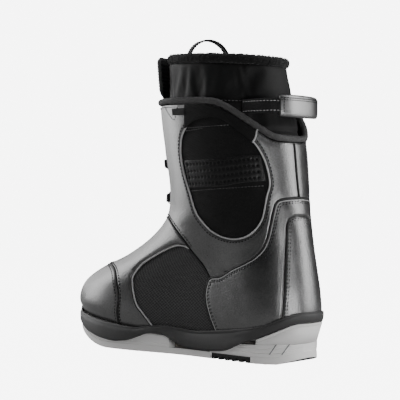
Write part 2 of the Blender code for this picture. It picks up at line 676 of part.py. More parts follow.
def make_guide(name, around, level, base_lift, slots, parts, cutters):
    """A lace guide: a small block with a channel along the shaft."""
    width, length, height = GUIDE_SIZE
    bore_width, bore_height = GUIDE_BORE
    place = frame_on_skin(around, level, base_lift + 0.9 + height / 2)
    made = add_object(name, box_mesh(name, GUIDE_SIZE), slots["hardware"], parts)
    made.matrix_world = place
    edges = made.modifiers.new("edges", "BEVEL")
    edges.width = 1.0 * MM
    edges.segments = 1
    bore = add_object(f"{name}_channel", box_mesh("channel", (bore_width, length * 2, bore_height)), None,
                      cutters)
    bore.matrix_world = place
    bore.hide_render = True
    bore.display_type = "WIRE"
    cut = made.modifiers.new("channel", "BOOLEAN")
    cut.object = bore
    cut.operation = "DIFFERENCE"
    return place


def make_tongue(slots, parts, cutters):
    half = [(0.5, THROAT), (TONGUE_EDGE, THROAT + 0.12), *TONGUE_TOP]
    panel("tongue", across_toe(half), slots["tongue"], parts, lift=TONGUE_LIFT, gap=2.0)
    rim = [p for p in inset(densify(across_toe(half), 8.0), -1.3) if p[1] > 10.05]
    rim.sort(key=lambda p: math.atan2(p[0] - 0.5, p[1] - 10.2))
    edge = [metres(FORM.place(a, l, TONGUE_LIFT - 0.9)) for a, l in rim]
    tube("tongue_binding", edge, TONGUE_BINDING_RADIUS,
         slots["binding"], parts)
    channels = {}
    for side, mirror in (("inner", 1), ("outer", -1)):
        places = []
        for number, (kind, level) in enumerate(GUIDE_LEVELS):
            on_flap = kind == "flap_guide"
            around = FLAP_GUIDE_AROUND if on_flap else TONGUE_GUIDE_AROUND
            around = around if mirror > 0 else 1.0 - around
            base = 0.0 if on_flap else TONGUE_LIFT
            name = f"{kind}_{side}_{number // 2 + 1}"
            places.append(make_guide(name, around, level, base, slots, parts, cutters))
        channels[side] = places
    return channels


def make_reel(slots, parts):
    place = frame_on_skin(0.5, REEL_LEVEL, TONGUE_LIFT + 0.4)
    well = SPOOL_RADIUS + 0.4
    base = [(REEL_RADIUS, 5.2), (REEL_RADIUS, 0.0), (2.2, 0.0), (2.2, 1.5), (well, 1.5), (well, 5.2)]
    r = SPOOL_RADIUS
    bore = AXLE_RADIUS + 0.4
    bodies = [
        ("reel_base", base, "hardware"),
        ("reel_spool", [(r, 4.2), (r, 3.6), (9.0, 3.3), (9.0, 2.6), (r, 2.3), (r, 1.9), (bore, 1.9),
                        (bore, 4.2)], "hardware"),
        ("dial_hub", [(AXLE_RADIUS, 9.2), (AXLE_RADIUS, 1.9), (1.0, 1.9), (1.0, 9.2)], "steel"),
        ("dial", [(11.5, 9.4), (13.4, 8.6), (DIAL_RADIUS, 7.6), (DIAL_RADIUS, 5.6), (bore, 5.6), (bore, 9.4)],
         "dial"),
        ("dial_cap", [(10.6, 10.1), (10.8, 9.7), (1.0, 9.7), (1.0, 10.1)], "steel"),
    ]
    for name, profile, slot in bodies:
        made = turned(name, profile, slots[slot], parts)
        made.matrix_world = place
    return place


def make_laces(channels, reel, slots, parts):
    """Each lace leaves the reel's side and runs down through the guides on its own side."""
    for side, sign in (("inner", 1), ("outer", -1)):
        start = reel @ Vector((sign * 15.9 * MM, -3.0 * MM, 3.4 * MM))
        leave = reel @ Vector((sign * 18.5 * MM, -7.0 * MM, 3.6 * MM))
        route = [start, leave]
        for place in channels[side]:
            route += [place @ Vector((0, share * GUIDE_SIZE[1] * MM, 0)) for share in (0.6, 0.3, 0, -0.3, -0.6)]
        tube(f"lace_{side}", spline(route, 44), LACE_RADIUS, slots["lace"], parts)


def ribbon(name, path, up, size, material, collection):
    """A strap of one width and thickness along a path; up gives its width direction at each point."""
    width, thickness = size
    rows = []
    for k, here in enumerate(path):
        ahead = path[min(k + 1, len(path) - 1)] - path[max(k - 1, 0)]
        side = up[k].normalized()
        face = ahead.cross(side).normalized()
        a, b = side * width / 2 * MM, face * thickness / 2 * MM
        rows.append([here - a - b, here + a - b, here + a + b, here - a + b])
    points = [p for row in rows for p in row]
    faces = []
    for i in range(len(rows) - 1):
        for k in range(4):
            n = (k + 1) % 4
            faces.append((4 * i + k, 4 * i + n, 4 * i + 4 + n, 4 * i + 4 + k))
    faces += [(0, 1, 2, 3), tuple(4 * (len(rows) - 1) + k for k in (3, 2, 1, 0))]
    return add_object(name, mesh_from(name, points, faces), material, collection)


def make_carry_strap(slots, parts):
    """U-shaped strap behind the liner: two webbing legs with a wrapped grip between them."""
    half = [(39.2, STRAP_HINGE), (39.8, 41.0), (37.6, 29.0), (31.0, 19.0), (18.0, 13.3), (0.0, 12.0)]
    right = [metres((x, s, STRAP_HEIGHT)) for x, s in half]
    route = spline(right + [Vector((-p.x, p.y, p.z)) for p in right[:-1]][::-1], 41)
    upright = Vector((0, 0, 1))
    first, last = GRIP_SHARE
    grip = route[first:last]
    for name, legs in (("strap_leg_inner", route[:first]), ("strap_leg_outer", route[last:])):
        ribbon(name, legs, [upright] * len(legs), LEG_SIZE, slots["webbing"],
               parts)
    ribbon("strap_grip", grip, [upright] * len(grip), GRIP_SIZE,
           slots["leather"], parts)


def make_pull_loop(slots, parts):
    """Webbing arch at the front of the liner's rim."""
    a, b = (metres(p) for p in LOOP_FEET)
    middle = (a + b) / 2
    reach = (b - a) / 2
    path = []
    for k in range(17):
        angle = math.pi * k / 16
        path.append(middle - reach * math.cos(angle) + Vector((0, 0, LOOP_RISE * MM * math.sin(angle) ** 0.8)))
    across = Vector((0, 0, 1)).cross(b - a).normalized()
    ribbon("pull_loop", path, [across] * len(path), LOOP_SIZE, slots["webbing"], parts)


def set_origin(names, place):
    """Moves the origin of pieces onto their joint's axis, and leaves their shape where it is."""
    for name in names:
        piece = bpy.data.objects[name]
        shift = Matrix.Translation(place)
        piece.data.transform(shift.inverted())
        piece.matrix_world = shift


def make_slots():
    return {
        "leather": make_material("leather", (0.16, 0.16, 0.165), 0.42),
        "leather_dark": make_material("leather_dark", (0.05, 0.05, 0.052), 0.5),
        "textile": make_material("textile", (0.035, 0.035, 0.037), 0.85),
        "tongue": make_material("tongue", (0.03, 0.03, 0.032), 0.7),
        "binding": make_material("binding", (0.06, 0.06, 0.063), 0.7),
        "label": make_material("label", (0.2, 0.2, 0.2), 0.8),
        "rand": make_material("rand", (0.055, 0.055, 0.058), 0.6),
        "rubber": make_material("rubber", (0.012, 0.012, 0.013), 0.7),
        "midsole": make_material("midsole", (0.82, 0.81, 0.78), 0.6),
        "board": make_material("board", (0.3, 0.28, 0.25), 0.8),
        "liner": make_material("liner", (0.012, 0.012, 0.013), 0.55),
        "fleece": make_material("fleece", (0.012, 0.012, 0.012), 0.95),
        "footbed": make_material("footbed", (0.08, 0.08, 0.085), 0.9),
        "webbing": make_material("webbing", (0.015, 0.015, 0.016), 0.75),
        "hardware": make_material("hardware", (0.02, 0.02, 0.021), 0.4),
        "dial": make_material("dial", (0.025, 0.025, 0.027), 0.35),
        "steel": make_material("steel", (0.45, 0.45, 0.46), 0.3, 1.0),
        "lace": make_material("lace", (0.03, 0.03, 0.03), 0.5),
    }


def main():
    clear_scene()
    parts = make_collection("snowboard_boot")
    cutters = make_collection("cutters")
    slots = make_slots()
    make_sole(slots, parts)
    make_upper(slots, parts)
    make_collar(slots, parts)
    make_liner(slots, parts)
    channels = make_tongue(slots, parts, cutters)
    reel = make_reel(slots, parts)
    make_laces(channels, reel, slots, parts)
    make_carry_strap(slots, parts)
    make_pull_loop(slots, parts)
    tongue_hinge = metres(FORM.place(0.5, THROAT + 0.06, TONGUE_LIFT - PANEL_THICKNESS / 2))
    set_origin(["tongue", "tongue_binding"], tongue_hinge)
    set_origin(["strap_leg_inner", "strap_leg_outer", "strap_grip"], metres((0, STRAP_HINGE, STRAP_HEIGHT)))
    set_origin(["pull_loop"], (metres(LOOP_FEET[0]) + metres(LOOP_FEET[1])) / 2)


main()
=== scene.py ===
"""Looks of the snowboard boot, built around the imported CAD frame. Lengths in the tables are millimetres."""

import bmesh
import bpy
import math
import numpy as np
from mathutils import Matrix, Vector
from mathutils.geometry import delaunay_2d_cdt
from mathutils.kdtree import KDTree


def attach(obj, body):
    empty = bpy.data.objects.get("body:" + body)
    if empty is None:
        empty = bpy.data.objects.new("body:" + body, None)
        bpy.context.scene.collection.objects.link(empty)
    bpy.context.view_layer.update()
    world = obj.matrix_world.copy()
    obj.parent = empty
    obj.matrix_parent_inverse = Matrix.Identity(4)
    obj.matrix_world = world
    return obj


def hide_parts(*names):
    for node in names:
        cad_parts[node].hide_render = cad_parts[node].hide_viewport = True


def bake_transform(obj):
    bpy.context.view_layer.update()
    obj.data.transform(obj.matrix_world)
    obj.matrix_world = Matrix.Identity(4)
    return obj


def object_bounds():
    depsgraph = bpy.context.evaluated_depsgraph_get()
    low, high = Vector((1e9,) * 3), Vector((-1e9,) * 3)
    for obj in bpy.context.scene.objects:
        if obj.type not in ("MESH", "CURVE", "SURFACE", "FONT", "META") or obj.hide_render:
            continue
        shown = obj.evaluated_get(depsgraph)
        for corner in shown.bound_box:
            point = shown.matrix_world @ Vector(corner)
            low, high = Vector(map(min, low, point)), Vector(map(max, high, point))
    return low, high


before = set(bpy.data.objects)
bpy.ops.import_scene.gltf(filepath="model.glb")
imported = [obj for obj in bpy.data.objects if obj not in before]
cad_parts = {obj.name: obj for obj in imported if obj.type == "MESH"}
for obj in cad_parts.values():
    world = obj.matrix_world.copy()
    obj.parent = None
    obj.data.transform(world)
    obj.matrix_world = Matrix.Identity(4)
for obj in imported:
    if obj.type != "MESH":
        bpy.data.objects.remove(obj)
CAD_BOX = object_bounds()

MM = 0.001
TWO_PI = 2 * math.pi
MIDDLE = 154.58           # station of the origin, measured from the heel's back

# Camera and stage
CAMERA_AZIMUTH = math.radians(133)
CAMERA_DISTANCE = 1.215
CAMERA_AIM = (0.0035, 150.0, 0.1565)     # metres to the right, station, metres up
SEEN_WIDTH = 400 / 0.96 * MM             # what the picture takes in at the boot
SENSOR = 36.0
BACKDROP = 7.0                           # brightness of the floor and the sky as the camera sees them
FLOOR_DROP = 0.0002

# The same form as the CAD: a row for each level, then how wide each ring is and how round its ends are.
PROFILE = np.array([
    (6, 22, 307, 36, -8), (-1, 44, 312, 50, -5), (0, 66, 303, 68, 0), (3, 88, 277, 84, 2),
    (6, 108, 242, 97, 4), (9, 128, 205, 116, 5), (12, 146, 178, 138, 2), (16, 170, 169, 164, 0),
    (19, 198, 172, 196, 0), (22, 226, 177, 228, 0), (25, 254, 181, 260, 0), (30, 300, 186, 306, 0)], float)
GIRTH = np.array([
    (37, 37, 49, 44, 46, 74), (41, 41, 54, 49, 48, 78), (42, 41, 53, 47, 50, 80), (41, 42, 48, 42, 52, 90),
    (41, 45, 46, 42, 56, 100), (44, 49, 49, 45, 62, 105), (48, 54, 54, 50, 70, 90), (54, 57, 57, 54, 72, 76),
    (57, 59, 59, 56, 74, 74), (59, 61, 61, 58, 75, 75), (60, 62, 62, 59, 77, 77), (60, 62, 62, 59, 77, 77)],
    float)
WIDTH_STATIONS = [0.0, 0.18, 0.42, 0.70, 0.90, 1.0]
ROUNDNESS = 2.15

# Seams on the inner side as (around, level); the outer side mirrors them.
TOE_SEAM = [(0.335, -0.02), (0.328, 1.05), (0.332, 1.7), (0.355, 2.4), (0.391, 2.9), (0.44, 3.2), (0.5, 3.3)]
MESH_FRONT = [(0.262, -0.02), (0.281, 0.85), (0.293, 1.25), (0.309, 2.05), (0.320, 2.5), (0.325, 3.0),
              (0.323, 3.4), (0.314, 3.8), (0.298, 4.1), (0.278, 4.25), (0.258, 4.2), (0.243, 4.08)]
ANKLE_SEAM = [(0.440, 6.0), (0.398, 5.95), (0.355, 5.6), (0.305, 4.97), (0.262, 4.4), (0.243, 4.08)]
MESH_TOP = [(0.243, 4.08), (0.199, 3.25), (0.172, 2.55)]
COUNTER_FRONT = [(0.146, -0.02), (0.164, 1.0), (0.172, 1.55), (0.175, 2.0), (0.172, 2.55)]
COUNTER_TOP = [(0.172, 2.55), (0.152, 2.7), (0.133, 3.05), (0.109, 3.4), (0.094, 3.7), (0.083, 4.1),
               (0.078, 4.6), (0.076, 5.2), (0.073, 5.8), (0.066, 6.3), (0.050, 6.48), (0.0, 6.55)]
BACKSTAY = [(0.047, 0.9), (0.044, 2.0), (0.043, 3.2), (0.043, 4.4), (0.043, 5.2), (0.037, 5.6), (0.020, 5.75),
            (0.0, 5.75)]
COLLAR = [(0.0, 8.5), (0.035, 8.5), (0.062, 8.58), (0.085, 8.8), (0.109, 9.05), (0.132, 9.32), (0.165, 9.65),
          (0.2, 9.78), (0.3, 9.8), (0.4, 9.8), (0.463, 9.75)]
OVAL = [(0.180, 9.45), (0.235, 9.35), (0.266, 9.05), (0.289, 8.65), (0.300, 8.1), (0.297, 7.5), (0.285, 6.9),
        (0.270, 6.2), (0.246, 5.6), (0.215, 5.0), (0.190, 4.7), (0.164, 4.52), (0.141, 4.48), (0.121, 4.6),
        (0.104, 4.95), (0.094, 5.5), (0.089, 6.1), (0.083, 6.6), (0.074, 7.1), (0.078, 7.7), (0.088, 8.15),
        (0.104, 8.55), (0.128, 8.9), (0.150, 9.2)]
BAND = [(0.282, 7.05), (0.188, 7.05), (0.145, 7.12), (0.084, 7.18), (0.092, 8.05), (0.125, 8.05),
        (0.184, 7.98), (0.289, 7.95)]
TONGUE_EDGE = 0.463
THROAT = 5.55
TONGUE_TOP = [(0.463, 9.95), (0.440, 10.1), (0.408, 10.25), (0.402, 10.6), (0.410, 10.85), (0.440, 10.95),
              (0.5, 10.98)]
FACING = [(0.262, 9.79), (0.2, 9.775), (0.165, 9.64), (0.132, 9.31), (0.109, 9.04), (0.094, 8.86),
          (0.106, 8.46), (0.131, 8.80), (0.154, 9.09), (0.183, 9.33), (0.230, 9.24), (0.252, 9.10), (0.272, 8.93)]
LABEL = [(0.305, 9.45), (0.305, 9.68), (0.262, 9.68), (0.262, 9.45)]
NOTCH = [(0.345, 9.78), (0.322, 9.45), (0.306, 9.3), (0.296, 9.45), (0.285, 9.78)]
QUILT_LINES = ((9.02, 0.262, 0.155), (8.93, 0.268, 0.215), (6.98, 0.285, 0.09))     # level, from, to

# Sole
ARCH = (96.0, 150.0)
SLAB_LIFT = 2.6
RAND_TOP = [(0.0, 50), (0.03, 50), (0.05, 44), (0.07, 37), (0.10, 33), (0.16, 28), (0.19, 26), (0.22, 28),
            (0.25, 29), (0.28, 27), (0.32, 21.5), (0.35, 20), (0.38, 23), (0.42, 31), (0.46, 39), (0.5, 44)]
RAND_FOOT = [(0.0, 40), (0.03, 40), (0.05, 33), (0.07, 26), (0.10, 18), (0.125, 10), (0.15, 8), (0.20, 8),
             (0.225, 13), (0.25, 21), (0.275, 20), (0.31, 11), (0.34, 8.5), (0.37, 11), (0.40, 15),
             (0.44, 23), (0.5, 31)]
RAND_FACE = [(1.0, 0.7), (0.97, 1.15), (0.88, 1.45), (0.84, 1.0), (0.80, 1.5), (0.6, 1.7), (0.35, 1.7),
             (0.12, 1.6), (0.0, 1.1)]     # share of the rand's height, thickness there
EASING = (-0.008, -0.004, 0.0, 0.004, 0.008)
CUP_END = 0.075
SKIRTS = {"heel": (-0.083, 0.083, 60), "forefoot": (0.157, 0.843, 170)}
# Engraved lines on the heel block, each from (around, height) at its top to (around, height) at its foot. They
# are drawn as grey tubes on the white foam: painted shade where the grooves would be, not cut grooves.
ENGRAVED = (((0.040, 27), (0.056, 10)), ((0.020, 30), (0.040, 10)))
LUG_PITCH = 9.0
LUG_LENGTH = 5.2
GROOVES = (4.6, 8.8)      # heights of the level lines round the heel block

# Liner, reel and straps
LINER_LIFT, LINER_TOP_LIFT = -5.0, -13.0
LINER_MOUTH = 10.8
FLEECE_RADIUS = 4.9
TUFTS = 2600
REEL = (0.5, 8.75, -1.0)
GUIDES = ((0.449, 7.95, 0.0), (0.478, 7.35, -1.4), (0.449, 6.8, 0.0), (0.478, 6.3, -1.4))
GUIDE_LENGTH = 9.0
STRAP_HEIGHT = 246.0
STRAP_ROUTE = [(39.2, 52.0), (39.8, 41.0), (37.6, 29.0), (31.0, 19.0), (18.0, 13.3), (0.0, 12.0)]
LOOP_FEET = ((14.0, 150.0, 291.0), (-32.0, 133.0, 291.0))
LOOP_RISE = 31.6


def smooth_rows(table, level):
    """Reads a table between its rows with a Catmull-Rom curve."""
    last = len(table) - 1
    level = min(max(level, 0.0), last)
    i = min(int(level), last - 1)
    t = level - i
    p1, p2 = table[i], table[i + 1]
    p0 = table[i - 1] if i else 2 * p1 - p2
    p3 = table[i + 2] if i + 2 <= last else 2 * p2 - p1
    return 0.5 * (2 * p1 + (p2 - p0) * t + (2 * p0 - 5 * p1 + 4 * p2 - p3) * t * t
                  + (3 * p1 - p0 - 3 * p2 + p3) * t ** 3)


def walked_along(path):
    """Length walked from the start of a path to each of its points."""
    return np.concatenate([[0], np.cumsum(np.linalg.norm(np.diff(path, axis=0), axis=1))])


def read_path(path, walked, at):
    """The places on a path at given lengths from its start."""
    return np.stack([np.interp(at, walked, path[:, k]) for k in range(3)], 1)


def hermite(x, xs, ys):
    """A smooth curve through the points (xs, ys), read at x."""
    xs, ys = np.array(xs, float), np.array(ys, float)
    slope = np.gradient(ys, xs)
    i = np.clip(np.searchsorted(xs, x) - 1, 0, len(xs) - 2)
    h = xs[i + 1] - xs[i]
    t = (x - xs[i]) / h
    return ((2 * t ** 3 - 3 * t ** 2 + 1) * ys[i] + (t ** 3 - 2 * t ** 2 + t) * h * slope[i]
            + (3 * t ** 2 - 2 * t ** 3) * ys[i + 1] + (t ** 3 - t ** 2) * h * slope[i + 1])


def half_ring(level, count):
    """Inner half of the ring at a level, back to front, with evenly spaced points: x, station, height."""
    back_s, back_z, front_s, front_z, dip = smooth_rows(PROFILE, level)
    heel, waist, ball, toe, back_end, front_end = smooth_rows(GIRTH, level)
    length = front_s - back_s
    squeeze = min(1.0, length / (back_end + front_end))
    back_end, front_end = back_end * squeeze, front_end * squeeze
    angle = np.linspace(0, math.pi / 2, 120)
    straight = np.linspace(back_end, length - front_end, 40)[1:-1]
    rise, run = np.sin(angle) ** (2 / ROUNDNESS), np.cos(angle) ** (2 / ROUNDNESS)
    along = np.concatenate([back_end * (1 - run), straight, length - front_end + front_end * rise])
    fullness = np.concatenate([rise, np.ones(len(straight)), run])
    share = along / length
    width = hermite(share, WIDTH_STATIONS, [heel, heel, waist, ball, (ball + toe) / 2, toe])
    height = back_z + (front_z - back_z) * share + dip * np.sin(math.pi * share)
    points = np.stack([width * fullness, back_s + along, height], 1)
    walked = walked_along(points)
    return read_path(points, walked, np.linspace(0, walked[-1], count + 1))


class Form:
    """The boot's outer skin. Points are arrays of x, station and height in millimetres."""
    COLUMNS = 512
    PER_LEVEL = 12

    def __init__(self):
        rows = (len(PROFILE) - 1) * self.PER_LEVEL + 1
        table = []
        for row in range(rows):
            half = half_ring(row / self.PER_LEVEL, self.COLUMNS // 2)
            table.append(np.concatenate([half, half[1:-1][::-1] * np.array([-1, 1, 1])]))
        self.table = np.array(table)
        around = np.roll(self.table, -2, 1) - np.roll(self.table, 2, 1)
        normal = np.cross(around, np.gradient(self.table, axis=0))
        self.normals = normal / np.linalg.norm(normal, axis=2, keepdims=True)

    def read(self, table, around, level):
        around, level = np.asarray(around, float), np.asarray(level, float)
        column = (around % 1.0) * self.COLUMNS
        row = np.clip(level * self.PER_LEVEL, 0.0, len(table) - 1.001)
        i, j = row.astype(int), column.astype(int) % self.COLUMNS
        s, t = (row - i)[..., None], (column - column.astype(int))[..., None]
        k = (j + 1) % self.COLUMNS
        return ((table[i, j] * (1 - t) + table[i, k] * t) * (1 - s)
                + (table[i + 1, j] * (1 - t) + table[i + 1, k] * t) * s)

    def direction(self, around, level):
        normal = self.read(self.normals, around, level)
        flat = np.clip(1 - np.asarray(level, float) / 0.3, 0, 1)[..., None]
        normal = normal * (1 - flat * np.array([0, 0, 1.0]))
        return normal / np.linalg.norm(normal, axis=-1, keepdims=True)

    def place(self, around, level, lift=0.0):
        level = np.asarray(level, float)
        point = self.read(self.table, around, level)
        point = point + np.minimum(level, 0)[..., None] * np.array([0, 0, 22.0])
        return point + self.direction(around, level) * np.asarray(lift, float)[..., None]


FORM = Form()


def to_frame(points):
    """x, station, height in millimetres to the frame's metres."""
    points = np.asarray(points, float)
    return np.stack([points[..., 0], MIDDLE - points[..., 1], points[..., 2]], -1) * MM


# ---------------------------------------------------------------- camera, stage and light

def make_camera():
    """Level with the shin, from behind on the inner side."""
    back = Vector((math.sin(CAMERA_AZIMUTH), -math.cos(CAMERA_AZIMUTH), 0))
    right = Vector((math.cos(CAMERA_AZIMUTH), math.sin(CAMERA_AZIMUTH), 0))
    side, station, height = CAMERA_AIM
    target = Vector((0, (MIDDLE - station) * MM, height)) + right * side
    data = bpy.data.cameras.new("camera")
    camera = bpy.data.objects.new("camera", data)
    bpy.context.scene.collection.objects.link(camera)
    data.sensor_width = SENSOR
    data.lens = SENSOR * CAMERA_DISTANCE / SEEN_WIDTH
    data.clip_start = 0.05
    data.clip_end = 60.0
    camera.matrix_world = Matrix.Translation(target + back * CAMERA_DISTANCE) @ Matrix(
        (right, Vector((0, 0, 1)), back)).transposed().to_4x4()
    bpy.context.scene.camera = camera
    return back, right


def area_light(name, place, target, size, power):
    data = bpy.data.lights.new(name, "AREA")
    data.shape = "RECTANGLE"
    data.size, data.size_y = size
    data.energy = power
    light = bpy.data.objects.new(name, data)
    bpy.context.scene.collection.objects.link(light)
    aim = (Vector(target) - Vector(place)).to_track_quat("-Z", "Y")
    light.matrix_world = Matrix.Translation(place) @ aim.to_matrix().to_4x4()
    light.visible_camera = False


def make_stage():
    """Pale floor without a visible horizon, tall soft boxes on both sides and a weak fill from the camera."""
    back, right = make_camera()
    bpy.ops.mesh.primitive_circle_add(vertices=96, radius=9.0, fill_type="NGON", location=(0, 0, 0))
    floor = bpy.context.object
    floor.name = "floor"
    floor.location.z = CAD_BOX[0][2] - FLOOR_DROP
    look = Look("stage_floor", grey(0.25), 0.9)
    look.set({"Emission Color": (1, 1, 1, 1)})
    seen = look.node("ShaderNodeMapRange", **{"To Min": 0.14, "To Max": BACKDROP})
    look.link(look.node("ShaderNodeLightPath").outputs["Is Camera Ray"], seen.inputs["Value"])
    look.drive("Emission Strength", seen.outputs[0])
    floor.data.materials.append(look.material)
    world = bpy.data.worlds.new("studio")
    bpy.context.scene.world = world
    world.use_nodes = True
    nodes, links = world.node_tree.nodes, world.node_tree.links
    nodes.clear()
    out = nodes.new("ShaderNodeOutputWorld")
    mix = nodes.new("ShaderNodeMixShader")
    path = nodes.new("ShaderNodeLightPath")
    shown, lighting = nodes.new("ShaderNodeBackground"), nodes.new("ShaderNodeBackground")
    shown.inputs["Color"].default_value = (1.0, 1.0, 1.0, 1)
    shown.inputs["Strength"].default_value = BACKDROP
    lighting.inputs["Color"].default_value = (0.9, 0.93, 1.0, 1)
    lighting.inputs["Strength"].default_value = 0.035
    links.new(path.outputs["Is Camera Ray"], mix.inputs[0])
    links.new(lighting.outputs[0], mix.inputs[1])
    links.new(shown.outputs[0], mix.inputs[2])
    links.new(mix.outputs[0], out.inputs[0])
    middle = Vector((0, 0, 0.16))
    up = Vector((0, 0, 1))
    area_light("left_box", middle - right * 1.1 - back * 0.5 + up * 0.25, middle, (0.7, 1.8), 15)
    area_light("right_box", middle + right * 1.15 + back * 0.12 + up * 0.2, middle, (0.5, 1.8), 15)
    area_light("back_left", middle - right * 0.7 - back * 1.0 + up * 0.5, middle, (0.8, 1.2), 5)
    area_light("top_box", middle + up * 1.3 + back * 0.2, middle, (1.2, 1.2), 2.2)
    area_light("fill", middle + back * 2.0 + up * 0.9, middle, (1.6, 1.0), 0.9)
    area_light("low_box", middle + right * 0.5 + back * 0.9 - up * 0.11, middle - up * 0.14, (0.6, 0.08), 3.2)


# ---------------------------------------------------------------- materials

def grey(value, warm=0.0):
    return (value * (1 + warm), value, value * (1 - warm))


class Look:
    """A material with a Principled shader, and short ways to add nodes to it."""

    def __init__(self, name, colour, roughness, metallic=0.0):
        self.material = bpy.data.materials.new(name)
        self.material.use_nodes = True
        self.tree = self.material.node_tree
        self.link = self.tree.links.new
        self.shader = self.tree.nodes["Principled BSDF"]
        self.set({"Base Color": (*colour, 1.0), "Roughness": roughness, "Metallic": metallic})

    def set(self, values):
        for name, value in values.items():
            self.shader.inputs[name].default_value = value

    def drive(self, name, source):
        self.link(source, self.shader.inputs[name])

    def feed(self, value, socket):
        """A socket takes a number, a colour or another node's output."""
        if isinstance(value, bpy.types.NodeSocket):
            self.link(value, socket)
        else:
            socket.default_value = value

    def node(self, kind, **values):
        """Adds a node; values are its properties and its sockets by name."""
        made = self.tree.nodes.new(kind)
        for key, value in values.items():
            if hasattr(made, key):
                setattr(made, key, value)
            else:
                made.inputs[key].default_value = value
        return made

    def mapped(self, source="Object", scale=1.0, rotation=0.0):
        """Coordinates in metres ("Object") or from the skin's own map ("skin"), scaled and turned."""
        if source == "Object":
            place = self.node("ShaderNodeTexCoord").outputs["Object"]
        else:
            place = self.node("ShaderNodeUVMap", uv_map="skin").outputs["UV"]
        mapping = self.node("ShaderNodeMapping", Scale=(scale,) * 3, Rotation=(0, 0, math.radians(rotation)))
        self.link(place, mapping.inputs[0])
        return mapping.outputs[0]

    def noise(self, place, scale, detail, **more):
        made = self.node("ShaderNodeTexNoise", Scale=scale, Detail=detail, **more)
        self.link(place, made.inputs["Vector"])
        return made.outputs[0]

    def ramp(self, source, *stops, warm=0.0):
        """Greys at given values of a source."""
        made = self.node("ShaderNodeValToRGB")
        elements = made.color_ramp.elements
        for element, (position, tone) in zip(elements, (stops[0], stops[-1])):
            element.position, element.color = position, (*grey(tone, warm), 1)
        for position, tone in stops[1:-1]:
            elements.new(position).color = (*grey(tone, warm), 1)
        self.link(source, made.inputs[0])
        return made.outputs[0]

    def math(self, operation, *values):
        made = self.node("ShaderNodeMath", operation=operation)
        for value, socket in zip(values, made.inputs):
            self.feed(value, socket)
        return made.outputs[0]

    def mixed(self, share, first, second, blend="MIX"):
        made = self.node("ShaderNodeMix", data_type="RGBA", blend_type=blend)
        for value, socket in zip((share, first, second), (0, 6, 7)):
            self.feed(value, made.inputs[socket])
        return made.outputs[2]

    def bump(self, heights, distance, strength):
        made = self.node("ShaderNodeBump", Distance=distance, Strength=strength)
        self.link(heights, made.inputs["Height"])
        self.drive("Normal", made.outputs[0])


# ---------------------------------------------------------------- pieces on the skin

def add_piece(name, points, faces, material, body="boot", slot=None, stands_for=(), smooth=True, values=None,
              uvs=None):
    """Makes a mesh piece in metres, gives it its body and hides the CAD nodes that it stands for."""
    mesh = bpy.data.meshes.new(name)
    mesh.from_pydata([tuple(p) for p in points], [], [tuple(int(k) for k in f) for f in faces])
    mesh.validate()
    mesh.materials.append(material)
    if smooth:
        mesh.shade_smooth()
    if values is not None:
        layer = mesh.attributes.new("rim", "FLOAT", "POINT")
        layer.data.foreach_set("value", np.asarray(values, np.float32))
    if uvs is not None:
        layer = mesh.uv_layers.new(name="skin")
        corner = np.zeros(len(mesh.loops), int)
        mesh.loops.foreach_get("vertex_index", corner)
        layer.data.foreach_set("uv", np.asarray(uvs, np.float32)[corner].ravel())
    piece = bpy.data.objects.new(name, mesh)
    bpy.context.scene.collection.objects.link(piece)
    if body:
        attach(piece, body)
    if stands_for:
        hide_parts(*stands_for)
    return piece


def rounded(outline, corners=(), step=2.0, closed=True):
    """A smooth (around, level) curve through an outline; it stays sharp at the numbered corners."""
    knots = np.array(outline, float)
    count = len(knots)
    curve = []
    for i in range(count if closed else count - 1):
        j = (i + 1) % count
        p1, p2 = knots[i], knots[j]
        open_start = i in corners or (not closed and i == 0)
        open_end = j in corners or (not closed and j == count - 1)
        p0 = 2 * p1 - p2 if open_start else knots[i - 1]
        p3 = 2 * p2 - p1 if open_end else knots[(j + 1) % count]
        length = np.linalg.norm(FORM.place(*p1) - FORM.place(*p2))
        steps = max(1, math.ceil(length / step))
        for t in np.arange(steps) / steps:
            curve.append(0.5 * (2 * p1 + (p2 - p0) * t + (2 * p0 - 5 * p1 + 4 * p2 - p3) * t * t
                                + (3 * p1 - p0 - 3 * p2 + p3) * t ** 3))
    if not closed:
        curve.append(knots[-1])
    return np.array(curve)


def skin_scale(curve):
    """Millimetres on the skin for one unit of around and of level, at each point."""
    a, v = curve[:, 0], curve[:, 1]
    here = FORM.place(a, v)
    per_around = np.linalg.norm(FORM.place(a + 0.002, v) - here, axis=1) / 0.002
    per_level = np.linalg.norm(FORM.place(a, v + 0.05) - here, axis=1) / 0.05
    return np.stack([per_around, np.maximum(per_level, 1.0)], 1)


def shifted(curve, distance, closed=True):
    """Moves a curve sideways on the skin, to its left when positive."""
    scale = skin_scale(curve)
    flat = np.zeros_like(curve)
    if closed:
        tangent = (np.roll(curve, -1, 0) - np.roll(curve, 1, 0)) * scale
    else:
        tangent = np.gradient(curve, axis=0) * scale
    length = np.linalg.norm(tangent, axis=1, keepdims=True)
    tangent = tangent / np.maximum(length, 1e-9)
    flat[:, 0], flat[:, 1] = -tangent[:, 1], tangent[:, 0]
    return curve + flat * distance / scale


def turns_left(curve):
    after = np.roll(curve, -1, 0)
    return np.sum(curve[:, 0] * after[:, 1] - curve[:, 1] * after[:, 0]) > 0


def inside(points, loop):
    """Which points lie in a closed loop."""
    hit = np.zeros(len(points), bool)
    x, y = points[:, 0], points[:, 1]
    for (x0, y0), (x1, y1) in zip(loop, np.roll(loop, -1, 0)):
        if y0 != y1:
            crosses = (y0 > y) != (y1 > y)
            hit ^= crosses & (x < (x1 - x0) * (y - y0) / (y1 - y0) + x0)
    return hit


